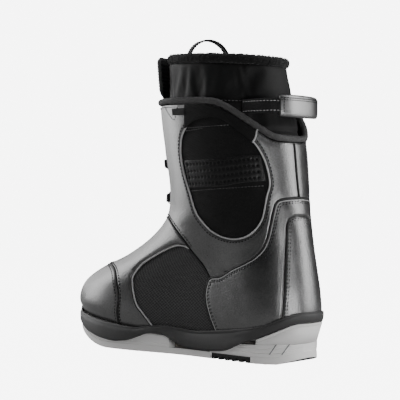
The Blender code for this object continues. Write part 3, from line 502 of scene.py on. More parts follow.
def edge_tree(loops):
    """Finds how far a point is from the nearest edge, in millimetres on the skin."""
    dense = []
    for loop in loops:
        places = FORM.place(loop[:, 0], loop[:, 1])
        after = np.roll(places, -1, 0)
        for t in (0.0, 0.25, 0.5, 0.75):
            dense.append(places + (after - places) * t)
    dense = np.concatenate(dense)
    tree = KDTree(len(dense))
    for k, place in enumerate(dense):
        tree.insert(place, k)
    tree.balance()
    return tree


FLAT = np.array([560.0, 25.0])


def drape(curve, holes, cell, rings):
    """Triangles on the skin inside a curve: (around, level) points, faces, and distances from the edge."""
    loops = [curve, *holes]
    tree = edge_tree(loops)
    fixed, edges = [], []
    for loop in loops:
        first = len(fixed)
        fixed += [Vector(p) for p in loop * FLAT]
        edges += [(first + k, first + (k + 1) % len(loop)) for k in range(len(loop))]
    candidates = []
    for distance in rings:
        for number, loop in enumerate(loops):
            inward = distance if turns_left(loop) == (number == 0) else -distance
            candidates.append((shifted(loop, inward), distance * 0.85))
    low, high = curve.min(0), curve.max(0)
    scale = np.median(skin_scale(curve), 0)
    step = cell / scale
    a, v = np.meshgrid(np.arange(low[0], high[0], step[0]), np.arange(low[1], high[1], step[1] * 0.9))
    a = a + (np.arange(len(a)) % 2)[:, None] * step[0] / 2
    clear = rings[-1] + 0.4 * cell
    candidates.append((np.stack([a.ravel(), v.ravel()], 1), clear))
    extra = []
    for points, needed in candidates:
        fits = inside(points, curve)
        for hole in holes:
            fits &= ~inside(points, hole)
        points = points[fits]
        places = FORM.place(points[:, 0], points[:, 1])
        for point, place in zip(points, places):
            if tree.find(place)[2] >= needed:
                extra.append(Vector(point * FLAT))
    points, _, faces, *_ = delaunay_2d_cdt(fixed + extra, edges, [], 0, 1e-6)
    points = np.array([tuple(p) for p in points]) / FLAT
    faces = np.array([f for f in faces if len(f) == 3])
    centres = points[faces].mean(1)
    kept = inside(centres, curve)
    for hole in holes:
        kept &= ~inside(centres, hole)
    faces = faces[kept][:, ::-1]
    places = FORM.place(points[:, 0], points[:, 1])
    gaps = np.array([tree.find(p)[2] for p in places])
    return points, faces, gaps


def solid_sheet(name, curve, material, height, depth, holes=(), cell=3.0, body="boot", slot=None,
                stands_for=(), rings=(0.5, 1.1, 1.9, 2.8, 3.7, 4.8), base=0.0):
    """A sewn panel with a shaped face, side walls and a back. height(gap, around, level) lifts its face."""
    points, faces, gaps = drape(curve, holes, cell, rings)
    used = np.unique(faces)
    index = np.full(len(points), -1)
    index[used] = np.arange(len(used))
    points, gaps, faces = points[used], gaps[used], index[faces]
    a, v = points.T
    lift = base + height(gaps, a, v)
    face = to_frame(FORM.place(a, v, lift))
    back = to_frame(FORM.place(a, v, np.full(len(a), base - depth)))
    count = len(points)
    sides = np.concatenate([faces[:, [0, 1]], faces[:, [1, 2]], faces[:, [2, 0]]])
    keys = {}
    for p, q in sides:
        keys[(p, q)] = True
    walls = [(q, p, p + count, q + count) for p, q in sides if (q, p) not in keys]
    all_faces = [tuple(f) for f in faces] + [tuple(f[::-1] + count) for f in faces] + walls
    scale = FLAT * MM
    uvs = np.concatenate([points, points]) * scale
    return add_piece(name, np.concatenate([face, back]), all_faces, material, body, slot, stands_for,
                     values=np.concatenate([gaps, np.zeros(count)]), uvs=uvs)


def on_side(side, points):
    """An inner side's points, or the same points on the outer side."""
    return list(points) if side == "inner" else [(1.0 - a, v) for a, v in points]


def outline_on(side, outline):
    """An inner side's outline, or its mirror image; both run the same way round."""
    return on_side(side, outline) if side == "inner" else on_side(side, outline)[::-1]


def over_front(half):
    """Closes a half outline over the front line; the half starts and ends at around 0.5."""
    return list(half) + [p for p in outline_on("outer", half) if abs(p[0] - 0.5) > 1e-6]


def over_back(half):
    """Closes a half outline over the back line; the half starts and ends at around 0."""
    other = [(-a, v) for a, v in half][::-1]
    return list(half) + [p for p in other if abs(p[0]) > 1e-6]


def loft_faces(rows, columns, closed=False):
    """Faces over rows of points, each row a ring, with an end face at both ends of an open loft."""
    faces = []
    for i in range(rows if closed else rows - 1):
        j = (i + 1) % rows
        for k in range(columns):
            n = (k + 1) % columns
            faces.append((i * columns + k, i * columns + n, j * columns + n, j * columns + k))
    if not closed:
        faces.append(tuple(range(columns))[::-1])
        faces.append(tuple((rows - 1) * columns + k for k in range(columns)))
    return faces


def face_out(piece):
    shape = bmesh.new()
    shape.from_mesh(piece.data)
    bmesh.ops.recalc_face_normals(shape, faces=shape.faces)
    shape.to_mesh(piece.data)
    shape.free()


def loft_piece(name, rows, material, closed=False, **how):
    """A closed piece from rows of points in millimetres, each row a ring."""
    points = to_frame(np.array(rows).reshape(-1, 3))
    piece = add_piece(name, points, loft_faces(len(rows), len(rows[0]), closed), material, **how)
    face_out(piece)
    return piece


def tube_mesh(path, normals, radius, sides=8, closed=False, flatten=1.0):
    """Points and faces of a round tube along a path in millimetres; flatten squeezes it along the normals."""
    path, normals = np.asarray(path, float), np.asarray(normals, float)
    if closed:
        tangent = np.roll(path, -1, 0) - np.roll(path, 1, 0)
    else:
        tangent = np.gradient(path, axis=0)
    tangent /= np.maximum(np.linalg.norm(tangent, axis=1, keepdims=True), 1e-9)
    side = np.cross(tangent, normals)
    side /= np.maximum(np.linalg.norm(side, axis=1, keepdims=True), 1e-9)
    out = np.cross(side, tangent)
    radius = np.broadcast_to(np.asarray(radius, float), (len(path),))
    points = []
    for k in range(sides):
        angle = TWO_PI * k / sides
        points.append(path + (side * math.cos(angle) + out * math.sin(angle) * flatten) * radius[:, None])
    return np.stack(points, 1).reshape(-1, 3), loft_faces(len(path), sides, closed)


class Pile:
    """Collects many small closed shapes into one piece."""

    def __init__(self):
        self.points, self.faces, self.count = [], [], 0

    def add(self, points, faces):
        self.points.append(np.asarray(points, float))
        self.faces += [tuple(k + self.count for k in f) for f in faces]
        self.count += len(points)

    def piece(self, name, material, **how):
        if not self.count:
            return None
        return add_piece(name, np.concatenate(self.points), self.faces, material, **how)


def skin_tube(pile, curve, radius, lift=0.0, closed=False, sides=8, flatten=1.0):
    """A cord of piping laid on the skin along an (around, level) curve."""
    path = FORM.place(curve[:, 0], curve[:, 1], np.full(len(curve), lift))
    normals = FORM.direction(curve[:, 0], curve[:, 1])
    points, faces = tube_mesh(path, normals, radius, sides, closed, flatten)
    pile.add(to_frame(points), [f[::-1] for f in faces])


def walk(path, pitch):
    """Evenly spaced places on a polyline, with the direction at each."""
    walked = walked_along(path)
    at = np.arange(pitch / 2, walked[-1], pitch)
    place = read_path(path, walked, at)
    return at, place, read_path(path, walked, at + 0.4) - place


def stitch_shape():
    """One stitch: a low rounded dash along X, half sunk, in units of its length and width."""
    stations = ((-0.5, 0.25), (-0.34, 0.85), (0.0, 1.0), (0.34, 0.85), (0.5, 0.25))
    points = [(x, math.cos(TWO_PI * k / 6) * r, math.sin(TWO_PI * k / 6) * r)
              for x, r in stations for k in range(6)]
    return np.array(points), loft_faces(len(stations), 6)


STITCH = stitch_shape()


def stitches(pile, path, normals, pitch=3.5, length=2.4, width=0.6):
    """A row of stitches along a path in millimetres."""
    walked = walked_along(path)
    at, places, ahead = walk(path, pitch)
    for where, place, forward in zip(at, places, ahead):
        normal = np.array([np.interp(where, walked, normals[:, k]) for k in range(3)])
        x = forward / max(np.linalg.norm(forward), 1e-9)
        y = np.cross(normal, x)
        y /= max(np.linalg.norm(y), 1e-9)
        z = np.cross(x, y)
        shape = STITCH[0] * np.array([length, width, width])
        pile.add(to_frame(place + shape[:, :1] * x + shape[:, 1:2] * y + shape[:, 2:] * z),
                 [f[::-1] for f in STITCH[1]])


def skin_stitches(pile, curve, lift, **how):
    path = FORM.place(curve[:, 0], curve[:, 1], np.full(len(curve), lift))
    stitches(pile, path, FORM.direction(curve[:, 0], curve[:, 1]), **how)


# ---------------------------------------------------------------- materials with detail

def leather_material(name, tone, metallic, roughness, grain=1.1):
    """Coated synthetic leather: pebbled grain, soft clouds in tone and gloss, rubbed rims."""
    look = Look(name, grey(tone), roughness, metallic)
    place = look.mapped()
    cells = look.node("ShaderNodeTexVoronoi", feature="SMOOTH_F1", Scale=1.0 / (grain * MM), Smoothness=0.6)
    look.link(place, cells.inputs["Vector"])
    pebbles = cells.outputs["Distance"]
    wobble, cloud = look.noise(place, 420.0, 3.0), look.noise(place, 26.0, 4.0)
    look.bump(look.math("MULTIPLY_ADD", pebbles, -0.8, wobble), 0.00022, 0.75)
    worn = look.node("ShaderNodeMapRange", **{"From Min": 0.0, "From Max": 2.2, "To Min": 0.22, "To Max": 0.0})
    look.link(look.node("ShaderNodeAttribute", attribute_name="rim").outputs["Fac"], worn.inputs["Value"])
    tones = look.ramp(cloud, (0.3, tone * 0.86), (0.7, tone * 1.14))
    base = look.mixed(1.0, tones, look.ramp(pebbles, (0.0, 1.0), (0.9, 0.72)), "MULTIPLY")
    look.drive("Base Color", look.mixed(worn.outputs[0], base, (*grey(tone * 1.5), 1)))
    look.drive("Roughness", look.ramp(cloud, (0.25, roughness - 0.05), (0.75, roughness + 0.07)))
    return look.material


def weave_material(name, tone, pitch, rotation=45.0, roughness=0.85, contrast=0.5, source="skin",
                   depth=0.00035):
    """Woven yarns, over and under, of a given pitch in millimetres."""
    look = Look(name, grey(tone), roughness)
    look.set({"Sheen Weight": 0.05, "Sheen Roughness": 0.4, "Specular IOR Level": 0.3})
    split = look.node("ShaderNodeSeparateXYZ")
    look.link(look.mapped(source, 1.0 / (pitch * MM), rotation), split.inputs[0])
    axes = split.outputs[1:3] if source == "Object" else split.outputs[0:2]
    humps = [look.math("ABSOLUTE", look.math("SINE", look.math("MULTIPLY", axis, math.pi))) for axis in axes]
    floors = [look.math("FLOOR", axis) for axis in axes]
    over = look.node("ShaderNodeMix", data_type="FLOAT")
    look.link(look.math("PINGPONG", look.math("ADD", *floors), 1.0), over.inputs[0])
    look.link(humps[0], over.inputs[2])
    look.link(humps[1], over.inputs[3])
    height = over.outputs[0]
    tones = look.ramp(height, (0.0, tone * (1 - contrast)), (0.55, tone), (1.0, tone * (1 + contrast)))
    fuzz = look.ramp(look.noise(look.mapped(), 900.0, 2.0), (0.3, 0.6), (0.7, 1.3))
    look.drive("Base Color", look.mixed(0.5, tones, fuzz, "MULTIPLY"))
    look.bump(height, depth, 0.9)
    return look.material


def grainy_material(name, tone, roughness, scale=700.0, depth=0.00012, warm=0.0, metallic=0.0, mottle=0.12,
                    sheen=0.0, gloss=0.5):
    """Rubber, foam, moulded plastic or felt: fine grain over soft changes of tone."""
    look = Look(name, grey(tone, warm), roughness, metallic)
    look.set({"Sheen Weight": sheen, "Sheen Roughness": 0.5, "Specular IOR Level": gloss})
    place = look.mapped()
    fine = look.noise(place, scale, 4.0, Roughness=0.6)
    broad = look.noise(place, 34.0, 3.0)
    tones = look.ramp(broad, (0.3, tone * (1 - mottle)), (0.7, tone * (1 + mottle * 0.6)), warm=warm)
    look.drive("Base Color", tones)
    look.drive("Roughness", look.ramp(fine, (0.25, roughness - 0.08), (0.75, roughness + 0.08)))
    look.bump(fine, depth, 0.8)
    return look.material


def make_materials():
    return {
        "leather": leather_material("leather_coated", 0.23, 0.92, 0.31),
        "leather_dark": leather_material("leather_perforated", 0.05, 0.85, 0.36, 0.9),
        "side_mesh": weave_material("ballistic_mesh", 0.050, 2.3, 45.0, contrast=0.85),
        "twill": weave_material("shaft_twill", 0.007, 1.5, 30.0, contrast=0.6),
        "tongue": weave_material("tongue_cordura", 0.026, 1.5, 45.0, contrast=0.6),
        "binding": weave_material("bound_edge", 0.085, 0.7, 0.0, 0.7, 0.35, "Object"),
        "black_seam": grainy_material("seam_tape", 0.008, 0.6, 1200.0),
        "piping": grainy_material("piping_light", 0.50, 0.5, 1500.0),
        # Painted shade: the grey of the engraved lines on the heel block, standing in for the shade inside
        # grooves that are not cut.
        "groove": grainy_material("groove_painted_shade", 0.20, 0.7, 600.0),
        "thread": grainy_material("thread_dark", 0.005, 0.6, 2500.0),
        "thread_grey": grainy_material("thread_grey", 0.16, 0.6, 2500.0),
        "thread_white": grainy_material("thread_white", 0.62, 0.6, 2500.0),
        "label": weave_material("label_woven", 0.03, 0.55, 0.0, 0.8, 0.4),
        "rand": grainy_material("rand_rubber", 0.050, 0.55, 900.0, 0.00012),
        "rubber": grainy_material("outsole_rubber", 0.016, 0.62, 500.0, 0.0002),
        "midsole": grainy_material("midsole_foam", 0.92, 0.62, 420.0, 0.00014, warm=0.012, mottle=0.05),
        "liner": grainy_material("liner_cloth", 0.0060, 0.66, 1400.0, 0.00010, sheen=0.03, gloss=0.3),
        "fleece": grainy_material("fleece_pile", 0.014, 0.95, 650.0, 0.0009, sheen=0.2, gloss=0.1),
        "webbing": weave_material("webbing_black", 0.014, 1.1, 0.0, 0.7, 0.7, "Object", 0.0004),
        "hardware": grainy_material("moulded_nylon", 0.020, 0.42, 800.0, 0.00006),
        "dial": grainy_material("dial_plastic", 0.030, 0.36, 800.0, 0.00005),
        "steel": grainy_material("turned_steel", 0.45, 0.30, 1500.0, 0.00003, metallic=1.0),
        "lace": grainy_material("lace_coated", 0.03, 0.45, 1500.0, 0.0001),
        "board": grainy_material("fibre_board", 0.28, 0.85, 500.0, 0.0002, warm=0.08),
        "footbed": grainy_material("footbed_felt", 0.07, 0.95, 900.0, 0.0005, sheen=0.3),
    }


# ---------------------------------------------------------------- upper

def smooth(t):
    t = np.clip(t, 0, 1)
    return t * t * (3 - 2 * t)


def rolled(top, rise=0.9, width=2.2, groove=None, crown=0.0):
    """A panel face that rolls up from its seam, with a shallow furrow where its stitches lie."""
    def height(gap, around, level):
        lift = top - rise * (1 - smooth(gap / width)) + crown * smooth(gap / 22.0)
        if groove:
            lift = lift - 0.22 * np.exp(-((gap - groove) / 0.55) ** 2)
        return lift
    return height


def fitted(outline, inward=0.15):
    """The smooth outline of a panel, drawn in by half a seam. Sharp turns stay sharp."""
    knots = np.array(outline, float)
    scale = skin_scale(knots)
    before = (knots - np.roll(knots, 1, 0)) * scale
    after = (np.roll(knots, -1, 0) - knots) * scale
    cross = before[:, 0] * after[:, 1] - before[:, 1] * after[:, 0]
    turn = np.degrees(np.arctan2(cross, (before * after).sum(1)))
    corners = set(np.nonzero(np.abs(turn) > 42)[0])
    curve = rounded(outline, corners)
    return shifted(curve, inward if turns_left(curve) else -inward)


def line_on_skin(points, step=1.5):
    return rounded(points, closed=False, step=step)


def make_upper(m):
    leather = m["leather"]
    seams, light, thread, grey_thread = Pile(), Pile(), Pile(), Pile()
    face = rolled(0.0, 1.0, 2.3, groove=3.2)
    toe_cap = fitted(over_front([(0.5, -0.02), *TOE_SEAM]))
    solid_sheet("toe_cap_skin", toe_cap, leather, rolled(0.15, 1.1, 2.4, 3.4, 0.3), 1.8, slot="leather",
                stands_for=["toe_cap"])
    throat = [(0.5, THROAT - 0.05), (0.455, THROAT - 0.05), (0.440, 6.0)]
    vamp = TOE_SEAM[::-1] + MESH_FRONT + ANKLE_SEAM[::-1][1:-1] + throat[::-1]
    solid_sheet("vamp_skin", fitted(over_front(vamp)), leather, face, 1.8, slot="leather",
                stands_for=["vamp"])
    counter = fitted(over_back([(0.0, -0.02), *COUNTER_FRONT, *COUNTER_TOP[1:]]))
    stay = fitted(over_back([(0.0, 0.9), *BACKSTAY]))
    stay_hole = shifted(stay, -0.3 if turns_left(stay) else 0.3)
    solid_sheet("heel_counter_skin", counter, leather, rolled(0.25, 1.2, 2.4, 3.3, 0.4), 1.8,
                holes=[stay_hole], slot="leather", stands_for=["heel_counter"])
    solid_sheet("backstay_skin", stay, leather, rolled(0.5, 1.3, 2.0, 3.0, 0.3), 1.8, slot="leather",
                stands_for=["backstay"])
    quarter = ([(TONGUE_EDGE, 5.75), (0.445, 6.0)] + ANKLE_SEAM[1:] + MESH_TOP[1:] + COUNTER_TOP[1:] + COLLAR)
    mesh = MESH_FRONT + MESH_TOP[1:] + COUNTER_FRONT[::-1][1:]
    for side in ("inner", "outer"):
        solid_sheet(f"side_mesh_{side}_skin", fitted(outline_on(side, mesh)), m["side_mesh"],
                    rolled(-0.7, 0.4, 2.5, None, 1.1), 1.1, slot="textile", stands_for=[f"side_mesh_{side}"])
    for side in ("inner", "outer"):
        oval = fitted(outline_on(side, OVAL))
        hole = shifted(oval, -0.3 if turns_left(oval) else 0.3)
        solid_sheet(f"quarter_{side}_skin", fitted(outline_on(side, quarter)), leather, face, 1.8,
                    holes=[hole], slot="leather", stands_for=[f"quarter_{side}"])
        solid_sheet(f"shaft_textile_{side}_skin", oval, m["twill"], shaft_face, 1.4, slot="textile",
                    stands_for=[f"shaft_textile_{side}"])
        make_band(side, m, thread)
        make_facing(side, m, light)
        for level, first, last in QUILT_LINES:
            line = [(first, level - 0.03), ((first + last) / 2, level), (last, level + 0.04)]
            skin_stitches(grey_thread, line_on_skin(on_side(side, line)), -0.15, pitch=3.2, length=2.2,
                          width=0.34)
        skin_tube(light, shifted(oval, 0.7 if turns_left(oval) else -0.7), 0.85, 0.05, closed=True)
        skin_stitches(thread, shifted(hole, -2.6 if turns_left(hole) else 2.6), 0.15)
    for side, sign in (("inner", 1), ("outer", -1)):
        def turned(points, distance=0.0):
            return shifted(line_on_skin(on_side(side, points)), distance * sign, closed=False)

        def rows(points, *distances, lift=0.05):
            for distance in distances:
                skin_stitches(thread, turned(points, distance), lift)
        skin_tube(seams, turned(ANKLE_SEAM), 1.15, -0.25, flatten=0.7)
        rows(ANKLE_SEAM, -3.2)
        skin_tube(light, turned(MESH_FRONT), 0.8, -0.1)
        skin_tube(seams, turned(MESH_FRONT, -1.5), 0.9, -0.4)
        skin_tube(seams, turned(MESH_TOP), 1.1, -0.3, flatten=0.7)
        edge = COUNTER_FRONT + COUNTER_TOP[1:]
        skin_tube(seams, turned(edge), 1.3, -0.25, flatten=0.7)
        skin_tube(light, turned(edge, 1.7), 0.55, -0.1)
        rows(edge, 3.2, 5.0)
        rows(BACKSTAY, 2.6, 4.4, lift=0.2)
    toe_line = line_on_skin(on_side("outer", TOE_SEAM)[:-1] + TOE_SEAM[::-1])
    skin_tube(seams, toe_line, 1.5, -0.15, flatten=0.7)
    for distance in (3.4, -3.2):
        skin_stitches(thread, shifted(toe_line, distance, closed=False), 0.1)
    skin_tube(seams, line_on_skin([(0.0, 6.6), (0.0, 7.5), (0.0, 8.45)]), 1.0, -0.3)
    seams.piece("seam_tapes", m["black_seam"], slot="binding")
    light.piece("light_piping", m["piping"], slot="leather")
    thread.piece("upper_stitches", m["thread"], slot="leather_dark")
    grey_thread.piece("textile_stitches", m["thread_grey"], slot="textile")


def make_facing(side, m, light):
    """Dark textile between the top of the oval and the collar, piped where it meets the back quarter."""
    solid_sheet(f"collar_facing_{side}", fitted(outline_on(side, FACING), 0.0), m["twill"],
                rolled(0.55, 0.5, 1.6, None, 0.2), -0.05, base=0.6, slot="textile")
    edge = [(0.106, 8.46), (0.098, 8.66), (0.094, 8.86), (0.090, 8.94)]
    skin_tube(light, line_on_skin(on_side(side, edge)), 0.85, 0.4)


def shaft_face(gap, around, level):
    """The recessed textile, quilted by three sewn lines across it."""
    lift = -0.75 - 0.5 * (1 - smooth(gap / 2.0)) + 1.0 * smooth(gap / 16.0)
    for line in (8.06, 7.02):
        lift = lift - 0.55 * np.exp(-((level - line) * 27 / 1.3) ** 2)
    return lift - 0.5 * np.exp(-((level - 8.85) * 27 / 1.0) ** 2)


def band_levels(around):
    """The band's lower and upper level at a place around the shaft."""
    low = np.interp(around, [0.084, 0.145, 0.188, 0.282], [7.18, 7.12, 7.05, 7.05])
    high = np.interp(around, [0.092, 0.125, 0.184, 0.289], [8.05, 8.05, 7.98, 7.95])
    return low, high


def make_band(side, m, thread):
    """Perforated band over the textile, with four rows of punched holes."""
    holes = []
    for a in np.arange(0.100, 0.278, 0.0098):
        low, high = band_levels(a)
        for share in (0.16, 0.39, 0.61, 0.84):
            centre = np.array([a if side == "inner" else 1.0 - a, low + (high - low) * share])
            scale = skin_scale(centre[None, :])[0]
            ring = [centre + np.array([math.cos(t), math.sin(t)]) * 1.05 / scale
                    for t in np.linspace(0, TWO_PI, 9)[:-1]]
            holes.append(np.array(ring))
    curve = fitted(outline_on(side, BAND), 0.0)
    solid_sheet(f"perforated_band_{side}_skin", curve, m["leather_dark"], rolled(0.45, 0.5, 1.0, None, 0.15),
                0.2, holes=holes, cell=2.6, rings=(0.6, 1.3), slot="leather_dark",
                stands_for=[f"perforated_band_{side}"])
    for distance in (1.4, 2.8):
        skin_stitches(thread, shifted(curve, distance if turns_left(curve) else -distance), 0.45,
                      pitch=2.9, length=1.9, width=0.42)


# ---------------------------------------------------------------- sole

def ground(station):
    """Height of the sole's underside: toe spring in front, a bevel at the back."""
    toe, heel = max(0.0, (station - 232.0) / 84.0), max(0.0, (22.0 - station) / 26.0)
    return 30.0 * toe ** 1.7 + 9.0 * heel ** 1.5


def floor_height(station):
    back_s, back_z, front_s, front_z, dip = PROFILE[0]
    share = min(max((station - back_s) / (front_s - back_s), 0.0), 1.0)
    return back_z + (front_z - back_z) * share + dip * math.sin(math.pi * share)


def footprint(lift):
    arounds = np.linspace(0, 0.5, 160)
    edge = FORM.place(arounds, np.zeros(160)) + FORM.direction(arounds, np.zeros(160)) * lift
    return edge[:, 1], edge[:, 0]


def sole_block(name, material, stations, lift, bottom, top, section, slot, stands_for):
    """A block of the sole. section gives (height, inset) pairs up its side wall; the heights are from the
    bottom, or from the top when negative."""
    along, wide = footprint(lift)
    rows = []
    for s in stations:
        w = max(float(np.interp(s, along, wide)), 2.5)
        low, high = bottom(s), top(s)
        wall = [(w - inset, s, min(low + rise if rise >= 0 else high + rise, high))
                for rise, inset in section]
        rows.append([*wall, *[(-x, y, z) for x, y, z in wall[::-1]]])
    piece = loft_piece(name, rows, material, slot=slot, stands_for=stands_for, smooth=False)
    bevel = piece.modifiers.new("soft_edges", "BEVEL")
    bevel.width, bevel.segments, bevel.angle_limit = 0.6 * MM, 2, math.radians(35)
    return piece


def crowded(start, end, count):
    """Stations from start to end, closer together near both ends."""
    return [start + (end - start) * (1 - math.cos(math.pi * k / count)) / 2 for k in range(count + 1)]


def make_sole(m):
    """Two white blocks over one black tread with its lugs, and the rand round them."""
    along, _ = footprint(1.0)
    heel_end, toe_end = along[0], along[-1]

    def above_ground(rise):
        return lambda s: ground(s) + rise

    def under_board(s):
        return floor_height(s) - 2.4
    heel = [(0.0, 1.2), (1.2, 0.0)]
    for line in GROOVES:
        heel += [(line - 0.55, 0.0), (line, 1.0), (line + 0.55, 0.0)]
    heel += [(-1.6, 0.3), (-0.001, 0.9)]
    forefoot = [(0.0, 1.2), (1.2, 0.0), (3.4, 0.0), (3.9, 0.8), (4.4, 0.0), (-1.4, 0.3), (-0.001, 0.9)]
    sole_block("heel_block", m["midsole"], crowded(heel_end - 1.0, ARCH[0], 40), SLAB_LIFT, above_ground(6.3),
               under_board, heel, "midsole", ["heel_midsole"])
    sole_block("forefoot_block", m["midsole"], crowded(ARCH[1], toe_end + 1.0, 56), SLAB_LIFT,
               above_ground(6.3), under_board, forefoot, "midsole", ["forefoot_midsole"])
    sole_block("tread_base", m["rubber"], crowded(heel_end + 0.8, toe_end - 0.8, 70), 1.0, above_ground(3.0),
               above_ground(6.0), [(0.0, 0.5), (1.0, 0.0), (-0.001, 0.0)], "rubber", ["outsole"])
    make_lugs(m)
    make_rand(m)


def make_lugs(m):
    """Rows of tapered blocks: a long one at each edge and two bent ones between."""
    pile = Pile()
    along, wide = footprint(1.0)
    station = along[0] + 5.0
    while station < along[-1] - 9.0:
        width = float(np.interp(station + LUG_LENGTH / 2, along, wide))
        columns = [(-width + 0.4, -width * 0.50), (-width * 0.44, -1.2), (1.2, width * 0.44),
                   (width * 0.50, width - 0.4)]
        for number, (left, right) in enumerate(columns):
            bend = 1.4 if number in (1, 2) else 0.0
            near, far = station + bend, station + LUG_LENGTH + bend
            base = [(left, near), (right, near), (right, far), (left, far)]
            foot = [(x + (0.6 if x == left else -0.6), s + (0.5 if k < 2 else -0.5))
                    for k, (x, s) in enumerate(base)]
            points = [(x, s, ground(s) + 3.4) for x, s in base] + [(x, s, ground(s) + 0.02) for x, s in foot]
            pile.add(to_frame(points), [(3, 2, 1, 0), (4, 5, 6, 7), (0, 1, 5, 4), (1, 2, 6, 5), (2, 3, 7, 6),
                                        (3, 0, 4, 7)])
        station += LUG_PITCH
    face_out(pile.piece("tread_lugs", m["rubber"], slot="rubber", smooth=False))


def side_lift(around, height):
    """How far the rand's back stands off: clear of the white blocks below, close to the upper above."""
    floor = floor_height(FORM.place(around, 0.0)[1])
    share = min(max((height - floor + 1.5) / 5.0, 0.0), 1.0)
    return (SLAB_LIFT + 1.0) * (1 - share) + 1.2 * share


def table_at(table, around):
    """A table of (around, value) read on either side of the boot, with its corners eased."""
    a = min(around % 1.0, 1.0 - around % 1.0)
    xs, ys = zip(*table)
    return float(np.mean([np.interp(a + shift, xs, ys) for shift in EASING]))


def ring_of_walls(name, section, arounds, material, slot, stands_for=(), closed=False):
    """A wall round the sole. section gives (height, lift) pairs round its cut at a place."""
    rows = [[wall_point(a, h, d) for h, d in section(a)] for a in arounds]
    return loft_piece(name, rows, material, closed, slot=slot, stands_for=stands_for)


def wall_point(around, height, lift):
    """The skin's place at a height near the sole, pushed out level."""
    column = FORM.read(FORM.table, np.full(25, around), np.linspace(0, 3, 25))
    x, s = (np.interp(height, column[:, 2], column[:, k]) for k in range(2))
    normal = FORM.direction(around, 0.0)
    return np.array([x + normal[0] * lift, s + normal[1] * lift, height])


def make_rand(m):
    def section(around):
        foot, top = table_at(RAND_FOOT, around), table_at(RAND_TOP, around)
        top = max(top, float(FORM.place(around, 0.0)[2]) + 1.5)
        backing = [foot + (top - foot) * t for t in (0.0, 0.5, 1.0)]
        inner = [(height, side_lift(around, height)) for height in backing]
        outer = []
        for t, thickness in RAND_FACE:
            height = foot + (top - foot) * t
            outer.append((height, side_lift(around, height) + thickness))
        return inner + outer
    ring_of_walls("rand_band", section, np.arange(220) / 220, m["rand"], "rand", ["rand"], closed=True)

    def cup(around):
        base = floor_height(FORM.place(around, 0.0)[1]) - 2.0
        top = table_at(RAND_FOOT, around) - 1.0
        return [(base, 0.6), (top, 0.6), (top, 2.4), (top - 0.6, 2.9), (top - 2.4, 2.9), (top - 2.8, 2.3),
                (top - 3.2, 2.9), (base, 3.0)]
    ring_of_walls("heel_cup_wall", cup, np.linspace(-CUP_END, CUP_END, 40), m["midsole"], "midsole",
                  ["heel_cup"])

    def skirt(around):
        low = ground(wall_point(around, 10.0, 2.0)[1])
        return [(low + 0.5, 1.35), (low + 0.5, 2.5), (low + 1.1, 3.0), (low + 6.9, 2.9), (low + 6.9, 1.35)]
    for name, (start, end, count) in SKIRTS.items():
        piece = ring_of_walls(f"{name}_skirt", skirt, np.linspace(start, end, count), m["midsole"], "midsole")
        piece.data.shade_flat()
    # Grey tubes along the heel block's sides: painted shade in place of the engraved grooves, which are not cut
    # into the foam.
    lines = Pile()
    for (top, high), (foot, low) in ENGRAVED:
        for sign in (1, -1):
            path = [wall_point(sign * (top + (foot - top) * t), high + (low - high) * t, SLAB_LIFT + 0.05)
                    for t in np.linspace(0, 1, 14)]
            normals = np.repeat(FORM.direction(sign * top, 0.0)[None, :], 14, 0)
            points, faces = tube_mesh(path, normals, 0.45, 6)
            lines.add(to_frame(points), [f[::-1] for f in faces])
    lines.piece("heel_engraving_painted_shade", m["groove"], slot="midsole")


# ---------------------------------------------------------------- straps, cords and rolls

def spline_path(points, count):
    """Evenly spaced points on a Catmull-Rom curve through the given ones."""
    knots = np.array([tuple(p) for p in points], float)
    fine = np.array([smooth_rows(knots, t) for t in np.linspace(0, len(knots) - 1, 24 * len(knots))])
    walked = walked_along(fine)
    return read_path(fine, walked, np.linspace(0, walked[-1], count))


def strap_mesh(path, widths, width, thickness, sides=20, power=0.45):
    """A band with soft edges. widths gives the direction of its width at each point."""
    path, across = np.asarray(path, float), np.asarray(widths, float)
    tangent = np.gradient(path, axis=0)
    tangent /= np.linalg.norm(tangent, axis=1, keepdims=True)
    face = np.cross(tangent, across)
    face /= np.linalg.norm(face, axis=1, keepdims=True)
    width = np.broadcast_to(np.asarray(width, float), (len(path),))[:, None]
    thickness = np.broadcast_to(np.asarray(thickness, float), (len(path),))[:, None]
    points = []
    for k in range(sides):
        c, s = math.cos(TWO_PI * k / sides), math.sin(TWO_PI * k / sides)
        c, s = math.copysign(abs(c) ** power, c), math.copysign(abs(s) ** power, s)
        points.append(path + across * c * width / 2 + face * s * thickness / 2)
    return np.stack(points, 1).reshape(-1, 3), loft_faces(len(path), sides), face


